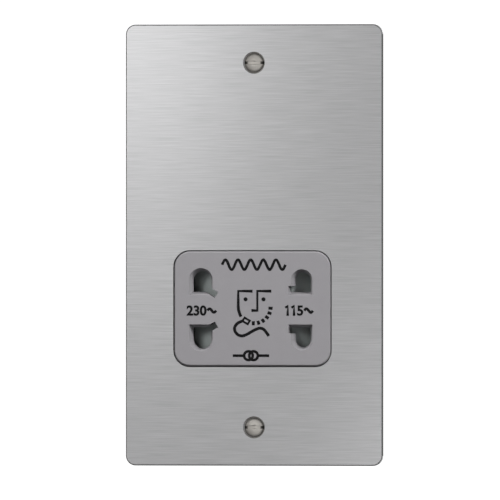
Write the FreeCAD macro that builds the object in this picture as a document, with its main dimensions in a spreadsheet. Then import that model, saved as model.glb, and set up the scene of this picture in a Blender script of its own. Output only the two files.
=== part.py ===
"""Dual-voltage shaver socket on a flat steel plate, two gangs high.

Millimetres. +X is to the right, +Z is up, and the front of the plate faces -Y. The origin is the
middle of the plate, on the wall plane that its gasket is drawn against. A level is a height above
that plane, towards the room: a level of 3 is at Y = -3.
"""

import FreeCAD, Part
import math
import os
import re

import Sketcher

SIZES = (
    # Front plate: steel sheet, as tall as its screws need and as wide as the ring behind it
    ("screw_edge", 12.7),
    ("plate_thick", 2.0),
    ("plate_corner", 3.3),
    ("plate_edge_cut", 0.35),
    # Gasket: foam ring between the plate and the wall
    ("gasket_thick", 1.0),
    ("gasket_inset", 1.0),
    ("gasket_clearance", 0.8),
    ("gasket_land", 5.175),
    ("gasket_hole", 5.9),
    # Fixing screws: raised countersunk heads, slotted
    ("screw_spacing", 120.6),
    ("screw_hole", 3.9),
    ("countersink_mouth", 7.3),
    ("countersink_angle", 90.0),
    ("head_width", 5.9),
    ("head_land", 0.2),
    ("head_rise", 0.75),
    ("shank_width", 3.5),
    ("screw_length", 25.0),
    ("screw_point", 0.6),
    ("slot_width", 0.9),
    ("slot_depth", 0.6),
    # Welded studs and nuts that hold the housing to the plate
    ("stud_width", 2.5),
    ("stud_length", 5.2),
    ("stud_inset", 7.0),
    ("stud_clearance", 0.3),
    ("nut_flats", 5.0),
    ("nut_thick", 2.0),
    ("ear_land", 1.0),
    ("ear_thick", 2.2),
    # Socket face: the moulding seen through the plate
    ("socket_shift", -0.85),
    ("face_shift", 0.35),
    ("face_lift", 0.35),
    ("face_height", 38.0),
    ("face_corner", 5.2),
    ("face_gap", 0.35),
    ("face_proud", 0.15),
    ("face_edge_cut", 0.45),
    ("flange_lip", 2.0),
    ("lip_clearance", 1.1),
    ("flange_thick", 1.2),
    # Pin holes: an arch for round pins and a slot for flat blades
    ("hole_reach", 16.9),
    ("arch_start", 5.85),
    ("left_arch_width", 6.1),
    ("left_arch_end", 12.8),
    ("right_arch_width", 5.2),
    ("right_arch_end", 12.4),
    ("left_slot_width", 2.2),
    ("left_slot_angle", 30.0),
    ("left_slot_reach", 5.2),
    ("left_slot_drop", 1.0),
    ("right_slot_width", 2.0),
    ("right_slot_reach", 4.5),
    ("funnel_margin", 1.0),
    ("funnel_depth", 3.0),
    # Shutter: one slide with a ramp at each end
    ("shutter_gap", 0.3),
    ("shutter_overlap", 0.425),
    ("shutter_cover", 0.8),
    ("ramp_start", 0.825),
    ("shutter_travel", 7.5),
    ("ramp_depth", 4.5),
    ("shutter_tip", 0.9),
    ("shutter_skin", 1.2),
    ("shutter_end", 6.9),
    ("spring_window_height", 4.4),
    ("shutter_rib", 1.4),
    # Centring springs
    ("spring_width", 2.9),
    ("spring_wire", 0.35),
    ("spring_turns", 6.0),
    ("spring_clearance", 0.25),
    ("post_width", 3.2),
    ("peg_width", 1.6),
    ("peg_length", 1.1),
    # Contact carrier
    ("carrier_side", 4.3),
    ("carrier_depth", 13.3),
    ("rail_thick", 1.2),
    ("pocket_clearance", 0.3),
    ("carrier_screw_inset", 3.0),
    ("carrier_screw_gap", 0.8),
    ("carrier_ear_width", 7.0),
    ("carrier_ear_thick", 3.0),
    # Contacts: sprung strips, one to each pin hole
    ("contact_offset", 0.9),
    ("contact_width", 7.4),
    ("contact_strip", 0.5),
    ("contact_rise", 8.9),
    ("contact_mouth", 6.6),
    ("contact_throat", 0.7),
    ("contact_belly", 6.4),
    ("contact_setback", 0.5),
    ("throat_depth", 2.7),
    ("belly_depth", 6.4),
    ("contact_bend", 0.9),
    ("tail_width", 1.0),
    ("tail_spacing", 4.4),
    ("tail_stub", 0.8),
    # Circuit board
    ("board_clearance", 1.3),
    ("board_edge", 2.2),
    ("board_thick", 1.6),
    ("hole_clearance", 0.1),
    # Housing: moulded box behind the plate
    ("shutter_end_gap", 1.4),
    ("screw_gap", 3.1),
    ("core_top_gap", 0.5),
    ("coil_back_gap", 2.8),
    ("housing_wall", 1.6),
    ("housing_floor", 1.8),
    ("housing_corner", 4.0),
    ("housing_edge_cut", 1.5),
    ("shield_thick", 1.0),
    ("shield_ledge", 0.8),
    ("shield_clearance", 0.15),
    ("vent_length", 26.0),
    ("vent_width", 2.4),
    ("vent_pitch", 5.2),
    ("vent_count", 6.0),
    ("post_wall", 1.5),
    # Transformer: stacked E and I sheets round a wound bobbin
    ("leg_width", 16.0),
    ("stack_thick", 17.0),
    ("core_bottom_gap", 1.9),
    ("coil_front_gap", 1.2),
    ("core_screw_inset", 4.0),
    ("bobbin_clearance", 0.2),
    ("bobbin_wall", 1.0),
    ("flange_clearance", 0.4),
    ("coil_margin", 0.4),
    ("coil_divider", 1.0),
    ("primary_share", 0.535),
    ("tape_thick", 0.3),
    ("lead_rail_depth", 3.0),
    ("lead_rail_height", 2.4),
    ("lead_width", 1.5),
    ("lead_bend", 3.0),
    ("lead_gap", 7.1),
    # Thermal cut-out on the board
    ("cutout_width", 8.0),
    ("cutout_thick", 3.0),
    ("cutout_standoff", 2.6),
    ("cutout_shift", -2.0),
    ("cutout_gap", 1.0),
    ("cutout_leg", 0.7),
    ("cutout_leg_spacing", 5.0),
    # Small screws
    ("core_screw_width", 3.0),
    ("core_screw_head", 5.6),
    ("core_screw_head_height", 2.0),
    ("core_screw_grip", 6.0),
    ("carrier_screw_width", 2.5),
    ("carrier_screw_head", 4.6),
    ("carrier_screw_head_height", 1.6),
    ("carrier_screw_grip", 6.0),
    ("driver_slot", 0.7),
    ("driver_slot_depth", 0.8),
    # Supply terminals
    ("terminal_pitch", 11.5),
    ("terminal_width", 7.2),
    ("terminal_height", 8.4),
    ("terminal_depth", 9.0),
    ("terminal_bore", 3.4),
    ("bore_setback", 5.6),
    ("block_wall", 2.4),
    ("block_height", 11.0),
    ("block_shroud", 3.9),
    ("block_gap", 0.4),
    ("block_base", 2.4),
    ("block_clearance", 0.2),
    ("wire_entry", 4.4),
    ("terminal_screw_width", 3.5),
    ("terminal_screw_head", 4.8),
    ("terminal_screw_head_height", 1.8),
    ("terminal_pin", 1.2),
    # Earth tag on one stud, and its insulated lead to the board
    ("tag_thick", 0.8),
    ("tag_width", 5.0),
    ("tag_tongue", 2.2),
    ("barrel_start", 3.4),
    ("barrel_length", 4.6),
    ("barrel_wall", 0.4),
    ("earth_lead_width", 2.0),
    ("earth_lead_bend", 2.5),
    ("earth_lead_rise", 12.0),
    ("earth_lead_inset", 1.7),
    ("earth_lead_setback", 3.0),
)

LAYOUT = (
    # Shutter: long and tall enough to cover all four pin holes
    ("shutter_length", "2 * hole_reach + left_arch_width + 2 * shutter_overlap"),
    ("shutter_height", "2 * left_arch_end + 2 * shutter_cover"),
    ("shutter_flat", "2 * hole_reach - left_arch_width - 2 * ramp_start"),
    ("spring_window", "shutter_length - 2 * shutter_end"),
    ("slide_height", "shutter_height + 2 * shutter_gap"),
    ("rail_width", "shutter_length + 2 * shutter_travel - 2 * rail_thick"),
    ("left_slot_end", "hole_reach - left_slot_reach"),
    ("left_slot_rise", "arch_start - left_slot_drop"),
    ("right_slot_end", "hole_reach - right_slot_reach"),
    ("contact_reach", "hole_reach - contact_offset"),
    # Across: the room inside the housing lets the shutter slide, and the rest fits that room
    ("room_width", "shutter_length + 2 * shutter_travel + 2 * shutter_end_gap"),
    ("housing_width", "room_width + 2 * housing_wall"),
    ("face_width", "room_width - 2 * lip_clearance - 2 * flange_lip"),
    ("board_width", "room_width - 2 * board_clearance"),
    ("carrier_width", "room_width - 2 * carrier_side"),
    ("carrier_screw_reach", "carrier_width / 2 - carrier_screw_inset"),
    ("block_width", "2 * terminal_pitch + terminal_width + 2 * block_wall"),
    ("stud_reach", "housing_width / 2 + stud_clearance + nut_flats / 2"),
    ("ear_radius", "stud_width / 2 + hole_clearance + ear_land"),
    ("gasket_opening", "2 * stud_reach + 2 * ear_radius + 2 * gasket_clearance"),
    ("plate_width", "gasket_opening + 2 * gasket_land + 2 * gasket_inset"),
    # Up: from the lower fixing screw to the terminals, the socket, the board and the core
    ("plate_height", "screw_spacing + 2 * screw_edge"),
    ("housing_base", "screw_gap + shank_width / 2 - screw_spacing / 2"),
    ("block_bottom", "housing_base + housing_wall"),
    ("block_middle", "block_bottom + block_height / 2"),
    ("carrier_height", "slide_height + 2 * rail_thick"),
    ("carrier_screw_rise", "carrier_height / 2 + carrier_screw_head / 2 + carrier_screw_gap"),
    ("board_post_radius", "carrier_screw_width / 2 + hole_clearance + post_wall"),
    ("lower_post", "block_bottom + block_height + block_gap + board_post_radius"),
    ("socket_z", "lower_post + carrier_screw_rise"),
    ("carrier_top", "socket_z + carrier_height / 2"),
    ("lead_rise", "carrier_top + lead_gap"),
    ("cutout_z", "carrier_top + cutout_gap + cutout_width / 2"),
    ("board_top", "lead_rise + board_edge"),
    ("board_bottom", "block_bottom + board_clearance"),
    ("core_bottom", "board_top + core_bottom_gap"),
    ("core_width", "3 * leg_width"),
    ("core_height", "2.5 * leg_width"),
    ("core_top", "core_bottom + core_height"),
    ("housing_top", "core_top + core_top_gap + housing_wall"),
    ("housing_height", "housing_top - housing_base"),
    ("housing_z", "(housing_top + housing_base) / 2"),
    ("stud_rise", "housing_height / 2 - stud_inset"),
    # Transformer, in the proportions of a scrapless E and I sheet
    ("yoke_height", "leg_width / 2"),
    ("window_height", "1.5 * leg_width"),
    ("window_bottom", "core_bottom + yoke_height"),
    ("core_z", "(core_bottom + core_top) / 2"),
    ("core_screw_reach", "core_width / 2 - core_screw_inset"),
    ("core_screw_rise", "core_height / 2 - core_screw_inset"),
    ("tube_width", "leg_width + 2 * bobbin_clearance + 2 * bobbin_wall"),
    ("tube_depth", "stack_thick + 2 * bobbin_clearance + 2 * bobbin_wall"),
    ("cheek_width", "2 * leg_width - 2 * flange_clearance"),
    ("cheek_depth", "tube_depth + cheek_width - tube_width"),
    ("lead_pitch", "cheek_width / 8"),
    ("coil_build", "(cheek_width - tube_width) / 2 - coil_margin"),
    ("coil_width", "tube_width + 2 * coil_build"),
    ("coil_depth", "tube_depth + 2 * coil_build"),
    ("coil_corner", "0.5 * coil_build"),
    ("bobbin_bottom", "window_bottom + bobbin_clearance"),
    ("bobbin_length", "window_height - 2 * bobbin_clearance"),
    ("primary_bottom", "bobbin_bottom + bobbin_wall"),
    ("primary_length", "(bobbin_length - 2 * bobbin_wall - coil_divider) * primary_share"),
    ("secondary_bottom", "primary_bottom + primary_length + coil_divider"),
    ("secondary_length", "bobbin_bottom + bobbin_length - bobbin_wall - secondary_bottom"),
    # Levels from the front of the plate back to the rear of the housing
    ("plate_back", "gasket_thick"),
    ("plate_front", "gasket_thick + plate_thick"),
    ("face_front", "plate_front + face_proud"),
    ("shield_back", "plate_back - shield_thick"),
    ("flange_back", "shield_back - flange_thick"),
    ("shutter_front", "flange_back - shutter_gap"),
    ("ramp_foot", "shutter_front - ramp_depth"),
    ("shutter_back", "ramp_foot - shutter_tip"),
    ("slide_floor", "shutter_back - shutter_gap"),
    ("spring_level", "(shutter_front - shutter_skin + slide_floor) / 2"),
    ("spring_length", "(spring_window - post_width) / 2"),
    ("board_front", "slide_floor - carrier_depth"),
    ("board_back", "board_front - board_thick"),
    ("core_middle", "shield_back - coil_front_gap - cheek_depth / 2"),
    ("core_front", "core_middle + stack_thick / 2"),
    ("core_back", "core_middle - stack_thick / 2"),
    ("rail_front", "core_middle + cheek_depth / 2"),
    ("lead_level", "rail_front - lead_rail_depth / 2"),
    ("floor_level", "core_middle - cheek_depth / 2 - coil_back_gap"),
    ("housing_back", "floor_level - housing_floor"),
    ("housing_depth", "plate_back - housing_back"),
    ("ear_back", "plate_back - ear_thick"),
    ("terminal_front", "board_back - block_base"),
    ("terminal_back", "terminal_front - terminal_depth"),
    ("bore_level", "terminal_back + bore_setback"),
    ("block_back", "terminal_back - block_shroud"),
    # Screw heads sit where the plate's countersink is as wide as they are
    ("countersink_slope", "tan(countersink_angle / 2)"),
    ("head_seat", "plate_front - (countersink_mouth - head_width) / 2 / countersink_slope"),
    ("head_top", "head_seat + head_land + head_rise"),
    # Cut-out that the socket face passes through
    ("opening_width", "face_width + 2 * face_gap"),
    ("opening_height", "face_height + 2 * face_gap"),
    ("opening_corner", "face_corner + face_gap"),
    ("face_x", "socket_shift + face_shift"),
    ("face_z", "socket_z + face_lift"),
    # Earth tag: as thick as the washers under the other three nuts
    ("tag_back", "ear_back - tag_thick"),
    ("tag_height", "housing_z - stud_rise"),
    ("barrel_width", "earth_lead_width + 2 * hole_clearance + 2 * barrel_wall"),
    ("earth_lead_front", "ear_back - tag_thick / 2"),
    ("earth_lead_back", "board_back - earth_lead_setback"),
    ("earth_lead_height", "tag_height + earth_lead_rise"),
    ("earth_lead_reach", "board_width / 2 - earth_lead_inset"),
)

# Flats that stand for a circle on small round forms, so that what repeats has few faces
SPRING_FLATS, FEW_FLATS, SOME_FLATS = 4, 8, 12

NAMES = {name: "Sizes" for name, _ in SIZES} | {name: "Layout" for name, _ in LAYOUT}
WORD = re.compile(r"[a-z][a-z_]*")

doc = FreeCAD.newDocument("ShaverSocket")


def bound(text):
    """The expression, with each size pointed at the object that holds it."""
    return WORD.sub(lambda m: f"{NAMES[m[0]]}.{m[0]}" if m[0] in NAMES else m[0], str(text))


def make_sheet():
    """The driving sizes, one to a row, each with its name as an alias."""
    sheet = doc.addObject("Spreadsheet::Sheet", "Sizes")
    for row, (name, value) in enumerate(SIZES, start=1):
        sheet.set(f"A{row}", name)
        sheet.set(f"B{row}", str(value))
        sheet.setAlias(f"B{row}", name)
    doc.recompute()


def make_layout():
    """Levels and sizes that follow from the driving ones, and one cell to read a formula with."""
    layout = doc.addObject("App::VarSet", "Layout")
    for name, text in LAYOUT:
        layout.addProperty("App::PropertyFloat", name)
        layout.setExpression(name, bound(text))
    reader = doc.addObject("App::VarSet", "Reader")
    reader.addProperty("App::PropertyFloat", "reading")
    doc.recompute()


def size(text):
    """What a formula of sizes comes to now."""
    reader = doc.getObject("Reader")
    reader.setExpression("reading", bound(text))
    reader.recompute()
    return reader.reading


def vector(*texts):
    """A point whose three coordinates are formulas of sizes."""
    return FreeCAD.Vector(*(size(text) for text in texts))


# Sketches


class Outline:
    """A sketch on one of a body's own planes, with every point tied to formulas of sizes."""

    def __init__(self, body, name, role="XZ_Plane", level="0"):
        self.sketch = body.newObject("Sketcher::SketchObject", f"{body.Name}_{name}")
        self.sketch.AttachmentSupport = [(origin_feature(body, role), "")]
        self.sketch.MapMode = "FlatFace"
        self.sketch.setExpression("AttachmentOffset.Base.z", bound(level))

    def tie(self, kind, *where, text=None):
        """One constraint, bound to a formula where it has one."""
        self.tie_all([(kind, where, text)])

    def tie_all(self, ties):
        """Constraints added in one step, each a kind, what it holds and a formula or None."""
        made = [
            Sketcher.Constraint(kind, *where, *(() if text is None else (size(text),)))
            for kind, where, text in ties
        ]
        first = self.sketch.ConstraintCount
        self.sketch.addConstraint(made)
        for index, (_, _, text) in enumerate(ties, start=first):
            if text is not None:
                self.sketch.setExpression(f"Constraints[{index}]", bound(text))

    def pin(self, item, end, x, y):
        """Places one end or centre of an item."""
        self.tie("DistanceX", -1, 1, item, end, text=x)
        self.tie("DistanceY", -1, 1, item, end, text=y)

    def line(self, start, end):
        """A line between two points given as numbers. Returns its index."""
        a, b = FreeCAD.Vector(*start, 0), FreeCAD.Vector(*end, 0)
        return self.sketch.addGeometry(Part.LineSegment(a, b))

    def arc(self, centre, radius, start, end):
        """An arc, anticlockwise between two angles in degrees. Returns its index."""
        ring = Part.Circle(FreeCAD.Vector(*centre, 0), FreeCAD.Vector(0, 0, 1), radius)
        return self.sketch.addGeometry(
            Part.ArcOfCircle(ring, math.radians(start), math.radians(end))
        )

    def circle(self, x, y, width):
        """A circle of the given width across."""
        centre = FreeCAD.Vector(size(x), size(y), 0)
        ring = Part.Circle(centre, FreeCAD.Vector(0, 0, 1), size(width) / 2)
        item = self.sketch.addGeometry(ring)
        self.pin(item, 3, x, y)
        self.tie("Diameter", item, text=width)
        return self

    def flats(self, x, y, width, sides):
        """A small round form drawn with a few flats, its corners on a circle of the given width."""
        turns = [360 * (step + 0.5) / sides for step in range(sides)]
        radius = f"({width}) / 2"
        return self.polygon([
            (f"{x} + {radius} * cos({turn})", f"{y} + {radius} * sin({turn})") for turn in turns
        ])

    def cut_rectangle(self, x, y, width, height, corner):
        """A rectangle round its middle, with its corners cut off."""
        across, up = f"({width}) / 2", f"({height}) / 2"
        quarter = [(f"{across}", f"({up} - {corner})"), (f"({across} - {corner})", f"{up}")]
        points = quarter + [(f"-{a}", b) for a, b in reversed(quarter)]
        points += [(a, f"-{b}") for a, b in reversed(points)]
        return self.polygon([(f"{x} + {a}", f"{y} + {b}") for a, b in points])

    def polygon(self, points):
        """A closed outline of straight sides through the points."""
        places = [(size(x), size(y)) for x, y in points]
        items = [self.line(a, b) for a, b in zip(places, places[1:] + places[:1])]
        joints = zip(items, items[1:] + items[:1])
        ties = [("Coincident", (item, 2, following, 1), None) for item, following in joints]
        for item, (x, y) in zip(items, points):
            ties += [("DistanceX", (-1, 1, item, 1), x), ("DistanceY", (-1, 1, item, 1), y)]
        self.tie_all(ties)
        return self

    def rectangle(self, x, y, width, height):
        """A rectangle round its middle."""
        left, right = f"{x} - ({width}) / 2", f"{x} + ({width}) / 2"
        low, high = f"{y} - ({height}) / 2", f"{y} + ({height}) / 2"
        x0, x1, y0, y1 = size(left), size(right), size(low), size(high)
        corners = [(x0, y0), (x1, y0), (x1, y1), (x0, y1)]
        items = [self.line(a, b) for a, b in zip(corners, corners[1:] + corners[:1])]
        for item, following in zip(items, items[1:] + items[:1]):
            self.tie("Coincident", item, 2, following, 1)
        self.square_up(items)
        self.pin(items[0], 1, left, low)
        self.pin(items[2], 1, right, high)
        return self

    def square_up(self, items):
        """Makes four sides horizontal and vertical in turn."""
        for item, way in zip(items, ("Horizontal", "Vertical", "Horizontal", "Vertical")):
            self.tie(way, item)

    def rounded_rectangle(self, x, y, width, height, corner):
        """A rectangle round its middle, with four equal tangent corners."""
        left, right = f"{x} - ({width}) / 2", f"{x} + ({width}) / 2"
        low, high = f"{y} - ({height}) / 2", f"{y} + ({height}) / 2"
        x0, x1, y0, y1, r = size(left), size(right), size(low), size(high), size(corner)
        sides = [
            self.line((x0 + r, y0), (x1 - r, y0)),
            self.line((x1, y0 + r), (x1, y1 - r)),
            self.line((x1 - r, y1), (x0 + r, y1)),
            self.line((x0, y1 - r), (x0, y0 + r)),
        ]
        turns = [
            self.arc((x1 - r, y0 + r), r, 270, 360),
            self.arc((x1 - r, y1 - r), r, 0, 90),
            self.arc((x0 + r, y1 - r), r, 90, 180),
            self.arc((x0 + r, y0 + r), r, 180, 270),
        ]
        for turn, before, after in zip(turns, sides, sides[1:] + sides[:1]):
            self.tie("Tangent", before, 2, turn, 1)
            self.tie("Tangent", turn, 2, after, 1)
        self.square_up(sides)
        for turn in turns[1:]:
            self.tie("Equal", turns[0], turn)
        self.tie("Radius", turns[0], text=corner)
        self.tie("DistanceY", -1, 1, sides[0], 1, text=low)
        self.tie("DistanceX", -1, 1, sides[1], 1, text=right)
        self.tie("DistanceY", -1, 1, sides[2], 1, text=high)
        self.tie("DistanceX", -1, 1, sides[3], 1, text=left)
        return self

    def arch(self, x, flat, end, width):
        """A straight foot, two straight sides and a half-round end above them."""
        left, right = f"{x} - ({width}) / 2", f"{x} + ({width}) / 2"
        x0, x1, y0, y1, r = size(left), size(right), size(flat), size(end), size(width) / 2
        foot = self.line((x0, y0), (x1, y0))
        side = self.line((x1, y0), (x1, y1 - r))
        crown = self.arc((x0 + r, y1 - r), r, 0, 180)
        back = self.line((x0, y1 - r), (x0, y0))
        self.tie("Coincident", foot, 2, side, 1)
        self.tie("Coincident", back, 2, foot, 1)
        self.tie("Tangent", side, 2, crown, 1)
        self.tie("Tangent", crown, 2, back, 1)
        self.tie("Vertical", side)
        self.pin(foot, 1, left, flat)
        self.pin(foot, 2, right, flat)
        self.tie("DistanceY", -1, 1, crown, 3, text=f"{end} - ({width}) / 2")
        return self


def origin_feature(body, role):
    """One of the body's own planes or axes."""
    return next(item for item in body.Origin.OriginFeatures if item.Role == role)


# Bodies and features


def new_body(name, x="0", y="0", z="0"):
    """A body whose label names its file, placed by formulas of sizes."""
    body = doc.addObject("PartDesign::Body", name)
    body.Label = name
    for axis, text in zip("xyz", (x, y, z)):
        body.setExpression(f"Placement.Base.{axis}", bound(text))
    return body


def pad(body, outline, length, reverse=False, symmetric=False):
    """Material from an outline. It grows along the sketch's normal unless reversed."""
    feature = body.newObject("PartDesign::Pad", f"{outline.sketch.Name}_pad")
    feature.Profile = outline.sketch
    feature.setExpression("Length", bound(length))
    feature.Reversed = reverse
    feature.SideType = "Symmetric" if symmetric else "One side"
    return settle(feature)


def pocket(body, outline, length=None, reverse=False, taper=None):
    """A cut against the sketch's normal, to a depth or through everything. A taper narrows it."""
    feature = body.newObject("PartDesign::Pocket", f"{outline.sketch.Name}_cut")
    feature.Profile = outline.sketch
    if length is None:
        feature.Type = "ThroughAll"
    else:
        feature.setExpression("Length", bound(length))
    feature.Reversed = reverse
    if taper is not None:
        feature.setExpression("TaperAngle", bound(taper))
    return settle(feature, cuts=True)


def settle(feature, cuts=False):
    """Rebuilds and stops if a feature failed, or if a cut took nothing away."""
    doc.recompute()
    if feature.Shape.isNull() or "Invalid" in feature.State:
        raise RuntimeError(f"{feature.Name} could not be built")
    base = feature.BaseFeature
    if cuts and base is not None and feature.Shape.Volume > base.Shape.Volume - 1e-6:
        raise RuntimeError(f"{feature.Name} cut nothing away")
    return feature


def revolve(body, outline, role, angle=360):
    """A turned solid round one of the body's own axes."""
    feature = body.newObject("PartDesign::Revolution", f"{outline.sketch.Name}_turn")
    feature.Profile = outline.sketch
    feature.ReferenceAxis = (origin_feature(body, role), [""])
    feature.Angle = angle
    return settle(feature)


def edge_names(feature, test):
    """The names of the feature's edges that pass a test of their bounding box."""
    return [
        f"Edge{number}"
        for number, edge in enumerate(feature.Shape.Edges, start=1)
        if test(edge.BoundBox)
    ]


def cut_edges(body, feature, test, width):
    """A bevel along the edges that pass the test."""
    names = edge_names(feature, test)
    if not names:
        raise RuntimeError(f"no edges to cut on {feature.Name}")
    bevel = body.newObject("PartDesign::Chamfer", f"{feature.Name}_bevel")
    bevel.Base = (feature, names)
    bevel.setExpression("Size", bound(width))
    return settle(bevel)


def mirror(body, features, role):
    """The features again on the other side of one of the body's own planes."""
    copy = body.newObject("PartDesign::Mirrored", f"{features[-1].Name}_mirror")
    copy.Originals = features
    copy.MirrorPlane = (origin_feature(body, role), [""])
    body.Tip = copy
    return settle(copy)


def mirror_twice(body, features):
    """The features again to the left, and both again below."""
    both = body.newObject("PartDesign::MultiTransform", f"{features[-1].Name}_quarters")
    steps = []
    for role in ("YZ_Plane", "XY_Plane"):
        step = doc.addObject("PartDesign::Mirrored", f"{both.Name}_{role}")
        body.addObject(step)
        step.MirrorPlane = (origin_feature(body, role), [""])
        steps.append(step)
    both.Originals = features
    both.Transformations = steps
    body.Tip = both
    return settle(both)


def repeat(body, features, role, spacing, count, reverse=False):
    """A straight row of the features, a spacing apart along one of the body's own axes."""
    row = body.newObject("PartDesign::LinearPattern", f"{features[-1].Name}_row")
    row.Originals = features
    row.Direction = (origin_feature(body, role), [""])
    row.Mode = "Spacing"
    row.setExpression("Offset", bound(spacing))
    row.Occurrences = int(round(size(count)))
    row.Reversed = reverse
    body.Tip = row
    return settle(row)


def at_level(text):
    """A test for edges that lie flat at a level."""
    y = -size(text)
    return lambda box: abs(box.YMin - y) < 1e-4 and abs(box.YMax - y) < 1e-4


# Front of the socket


def front_plate():
    """Steel sheet with the socket's cut-out, two countersunk holes and four welded studs."""
    body = new_body("front_plate")
    blank = Outline(body, "blank", level="plate_back")
    blank.rounded_rectangle("0", "0", "plate_width", "plate_height", "plate_corner")
    sheet = pad(body, blank, "plate_thick")
    sheet = cut_edges(body, sheet, at_level("plate_front"), "plate_edge_cut")
    opening = Outline(body, "opening", level="plate_front")
    opening.rounded_rectangle(
        "face_x", "face_z", "opening_width", "opening_height", "opening_corner"
    )
    pocket(body, opening)
    centres = Outline(body, "screw_centres", level="plate_front")
    for side in ("", "-"):
        centres.circle("0", f"{side}screw_spacing / 2", "screw_hole")
    doc.recompute()
    holes = body.newObject("PartDesign::Hole", "screw_holes")
    holes.Profile = centres.sketch
    holes.DepthType = "ThroughAll"
    holes.ThreadType = "None"
    holes.setExpression("Diameter", bound("screw_hole"))
    holes.HoleCutType = "Countersink"
    holes.HoleCutCustomValues = True
    holes.setExpression("HoleCutDiameter", bound("countersink_mouth"))
    holes.setExpression("HoleCutCountersinkAngle", bound("countersink_angle"))
    settle(holes, cuts=True)
    studs = Outline(body, "studs", level="plate_back")
    for side in ("", "-"):
        for rise in ("stud_rise", "-stud_rise"):
            studs.flats(f"{side}stud_reach", f"{rise} + housing_z", "stud_width", SOME_FLATS)
    pad(body, studs, "stud_length", reverse=True)


def wall_gasket():
    """Foam ring behind the plate, open round the housing and its ears."""
    body = new_body("wall_gasket")
    ring = Outline(body, "ring")
    ring.rounded_rectangle(
        "0", "0", "plate_width - 2 * gasket_inset", "plate_height - 2 * gasket_inset",
        "plate_corner",
    )
    ring.rounded_rectangle(
        "0", "housing_z", "gasket_opening",
        "housing_height + 2 * gasket_clearance", "housing_corner",
    )
    for side in ("", "-"):
        ring.circle("0", f"{side}screw_spacing / 2", "gasket_hole")
    pad(body, ring, "gasket_thick")


def fixing_screws():
    """Two raised countersunk screws with a straight slot across each head."""
    body = new_body("fixing_screws", z="screw_spacing / 2")
    half = Outline(body, "half", role="YZ_Plane")
    seat, rim = size("head_seat"), size("head_seat + head_land")
    top, head, shank = size("head_top"), size("head_width / 2"), size("shank_width / 2")
    neck = seat - (head - shank) / size("countersink_slope")
    tip, point = size("plate_front - screw_length"), size("screw_point")
    rise = top - rim
    crown = (head**2 + rise**2) / (2 * rise)
    outline = [
        (-rim, head), (-seat, head), (-neck, shank), (-tip - point, shank),
        (-tip, shank - point), (-tip, 0), (-top, 0),
    ]
    names = ["head_seat + head_land", "head_seat"]
    names.append("head_seat - (head_width - shank_width) / 2 / countersink_slope")
    names += ["plate_front - screw_length + screw_point"]
    names += ["plate_front - screw_length"] * 2 + ["head_top"]
    radii = ["head_width / 2"] * 2 + ["shank_width / 2"] * 2
    radii += ["shank_width / 2 - screw_point", "0", "0"]
    lines = [half.line(a, b) for a, b in zip(outline, outline[1:])]
    for line, following in zip(lines, lines[1:]):
        half.tie("Coincident", line, 2, following, 1)
    for line, level, radius in zip(lines, names, radii):
        half.pin(line, 1, f"-({level})", radius)
    half.pin(lines[-1], 2, "-head_top", "0")
    edge_angle = math.degrees(math.atan2(head, crown - rise))
    dome = half.arc((-top + crown, 0), crown, 180 - edge_angle, 180)
    half.tie("Coincident", dome, 1, lines[0], 1)
    half.tie("Coincident", dome, 2, lines[-1], 2)
    half.tie("DistanceY", -1, 1, dome, 3, text="0")
    turned = revolve(body, half, "Y_Axis")
    groove = Outline(body, "groove", level="head_top")
    groove.rectangle("0", "0", "2 * head_width", "slot_width")
    cut = pocket(body, groove, "slot_depth")
    repeat(body, [turned, cut], "Z_Axis", "screw_spacing", "2", reverse=True)


def socket_face():
    """Moulded face with four funnelled pin holes, and a lip that the plate traps."""
    body = new_body("socket_face", x="socket_shift", z="socket_z")
    lip = Outline(body, "lip", level="flange_back")
    lip.rounded_rectangle(
        "face_shift", "face_lift", "face_width + 2 * flange_lip",
        "face_height + 2 * flange_lip", "face_corner + flange_lip",
    )
    pad(body, lip, "flange_thick")
    front = Outline(body, "front", level="shield_back")
    front.rounded_rectangle("face_shift", "face_lift", "face_width", "face_height", "face_corner")
    block = pad(body, front, "face_front - shield_back")
    cut_edges(body, block, at_level("face_front"), "face_edge_cut")
    arches = (
        ("left", "-hole_reach", "left_arch_width", "left_arch_end"),
        ("right", "hole_reach", "right_arch_width", "right_arch_end"),
    )
    slope = "-atan(funnel_margin / funnel_depth)"
    cuts = []
    for name, x, width, end in arches:
        mouth = Outline(body, f"{name}_mouth", level="face_front")
        mouth.arch(
            x, "arch_start - funnel_margin", f"{end} + funnel_margin",
            f"{width} + 2 * funnel_margin",
        )
        cuts.append(pocket(body, mouth, "funnel_depth", taper=slope))
        hole = Outline(body, f"{name}_hole", level="face_front")
        hole.arch(x, "arch_start", end, width)
        cuts.append(pocket(body, hole))
    angled = Outline(body, "left_blade", level="face_front")
    angled.polygon(angled_slot())
    cuts.append(pocket(body, angled))
    high = "arch_start + right_slot_width"
    for part, low in (("right_blade_mouth", "arch_start - funnel_margin"), ("right_blade", "arch_start")):
        level = Outline(body, part, level="face_front")
        level.polygon([
            ("right_slot_end", low), ("hole_reach", low), ("hole_reach", high),
            ("right_slot_end", high),
        ])
        funnelled = part.endswith("mouth")
        depth, taper = ("funnel_depth", slope) if funnelled else (None, None)
        cuts.append(pocket(body, level, depth, taper=taper))
    mirror(body, cuts, "XY_Plane")


def angled_slot():
    """Corners of the slanted blade slot, from its far end back into the arch."""
    half = "left_slot_width / 2"
    corners = []
    for along, across in (("0", "-"), ("0", "+"), ("back", "+"), ("back", "-")):
        run = "(hole_reach - left_slot_end)" if along == "back" else "0"
        corners.append((
            f"-left_slot_end - {run} * cos(left_slot_angle)"
            f" {across} {half} * sin(left_slot_angle)",
            f"left_slot_rise + {run} * sin(left_slot_angle)"
            f" {across} {half} * cos(left_slot_angle)",
        ))
    return corners


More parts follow.
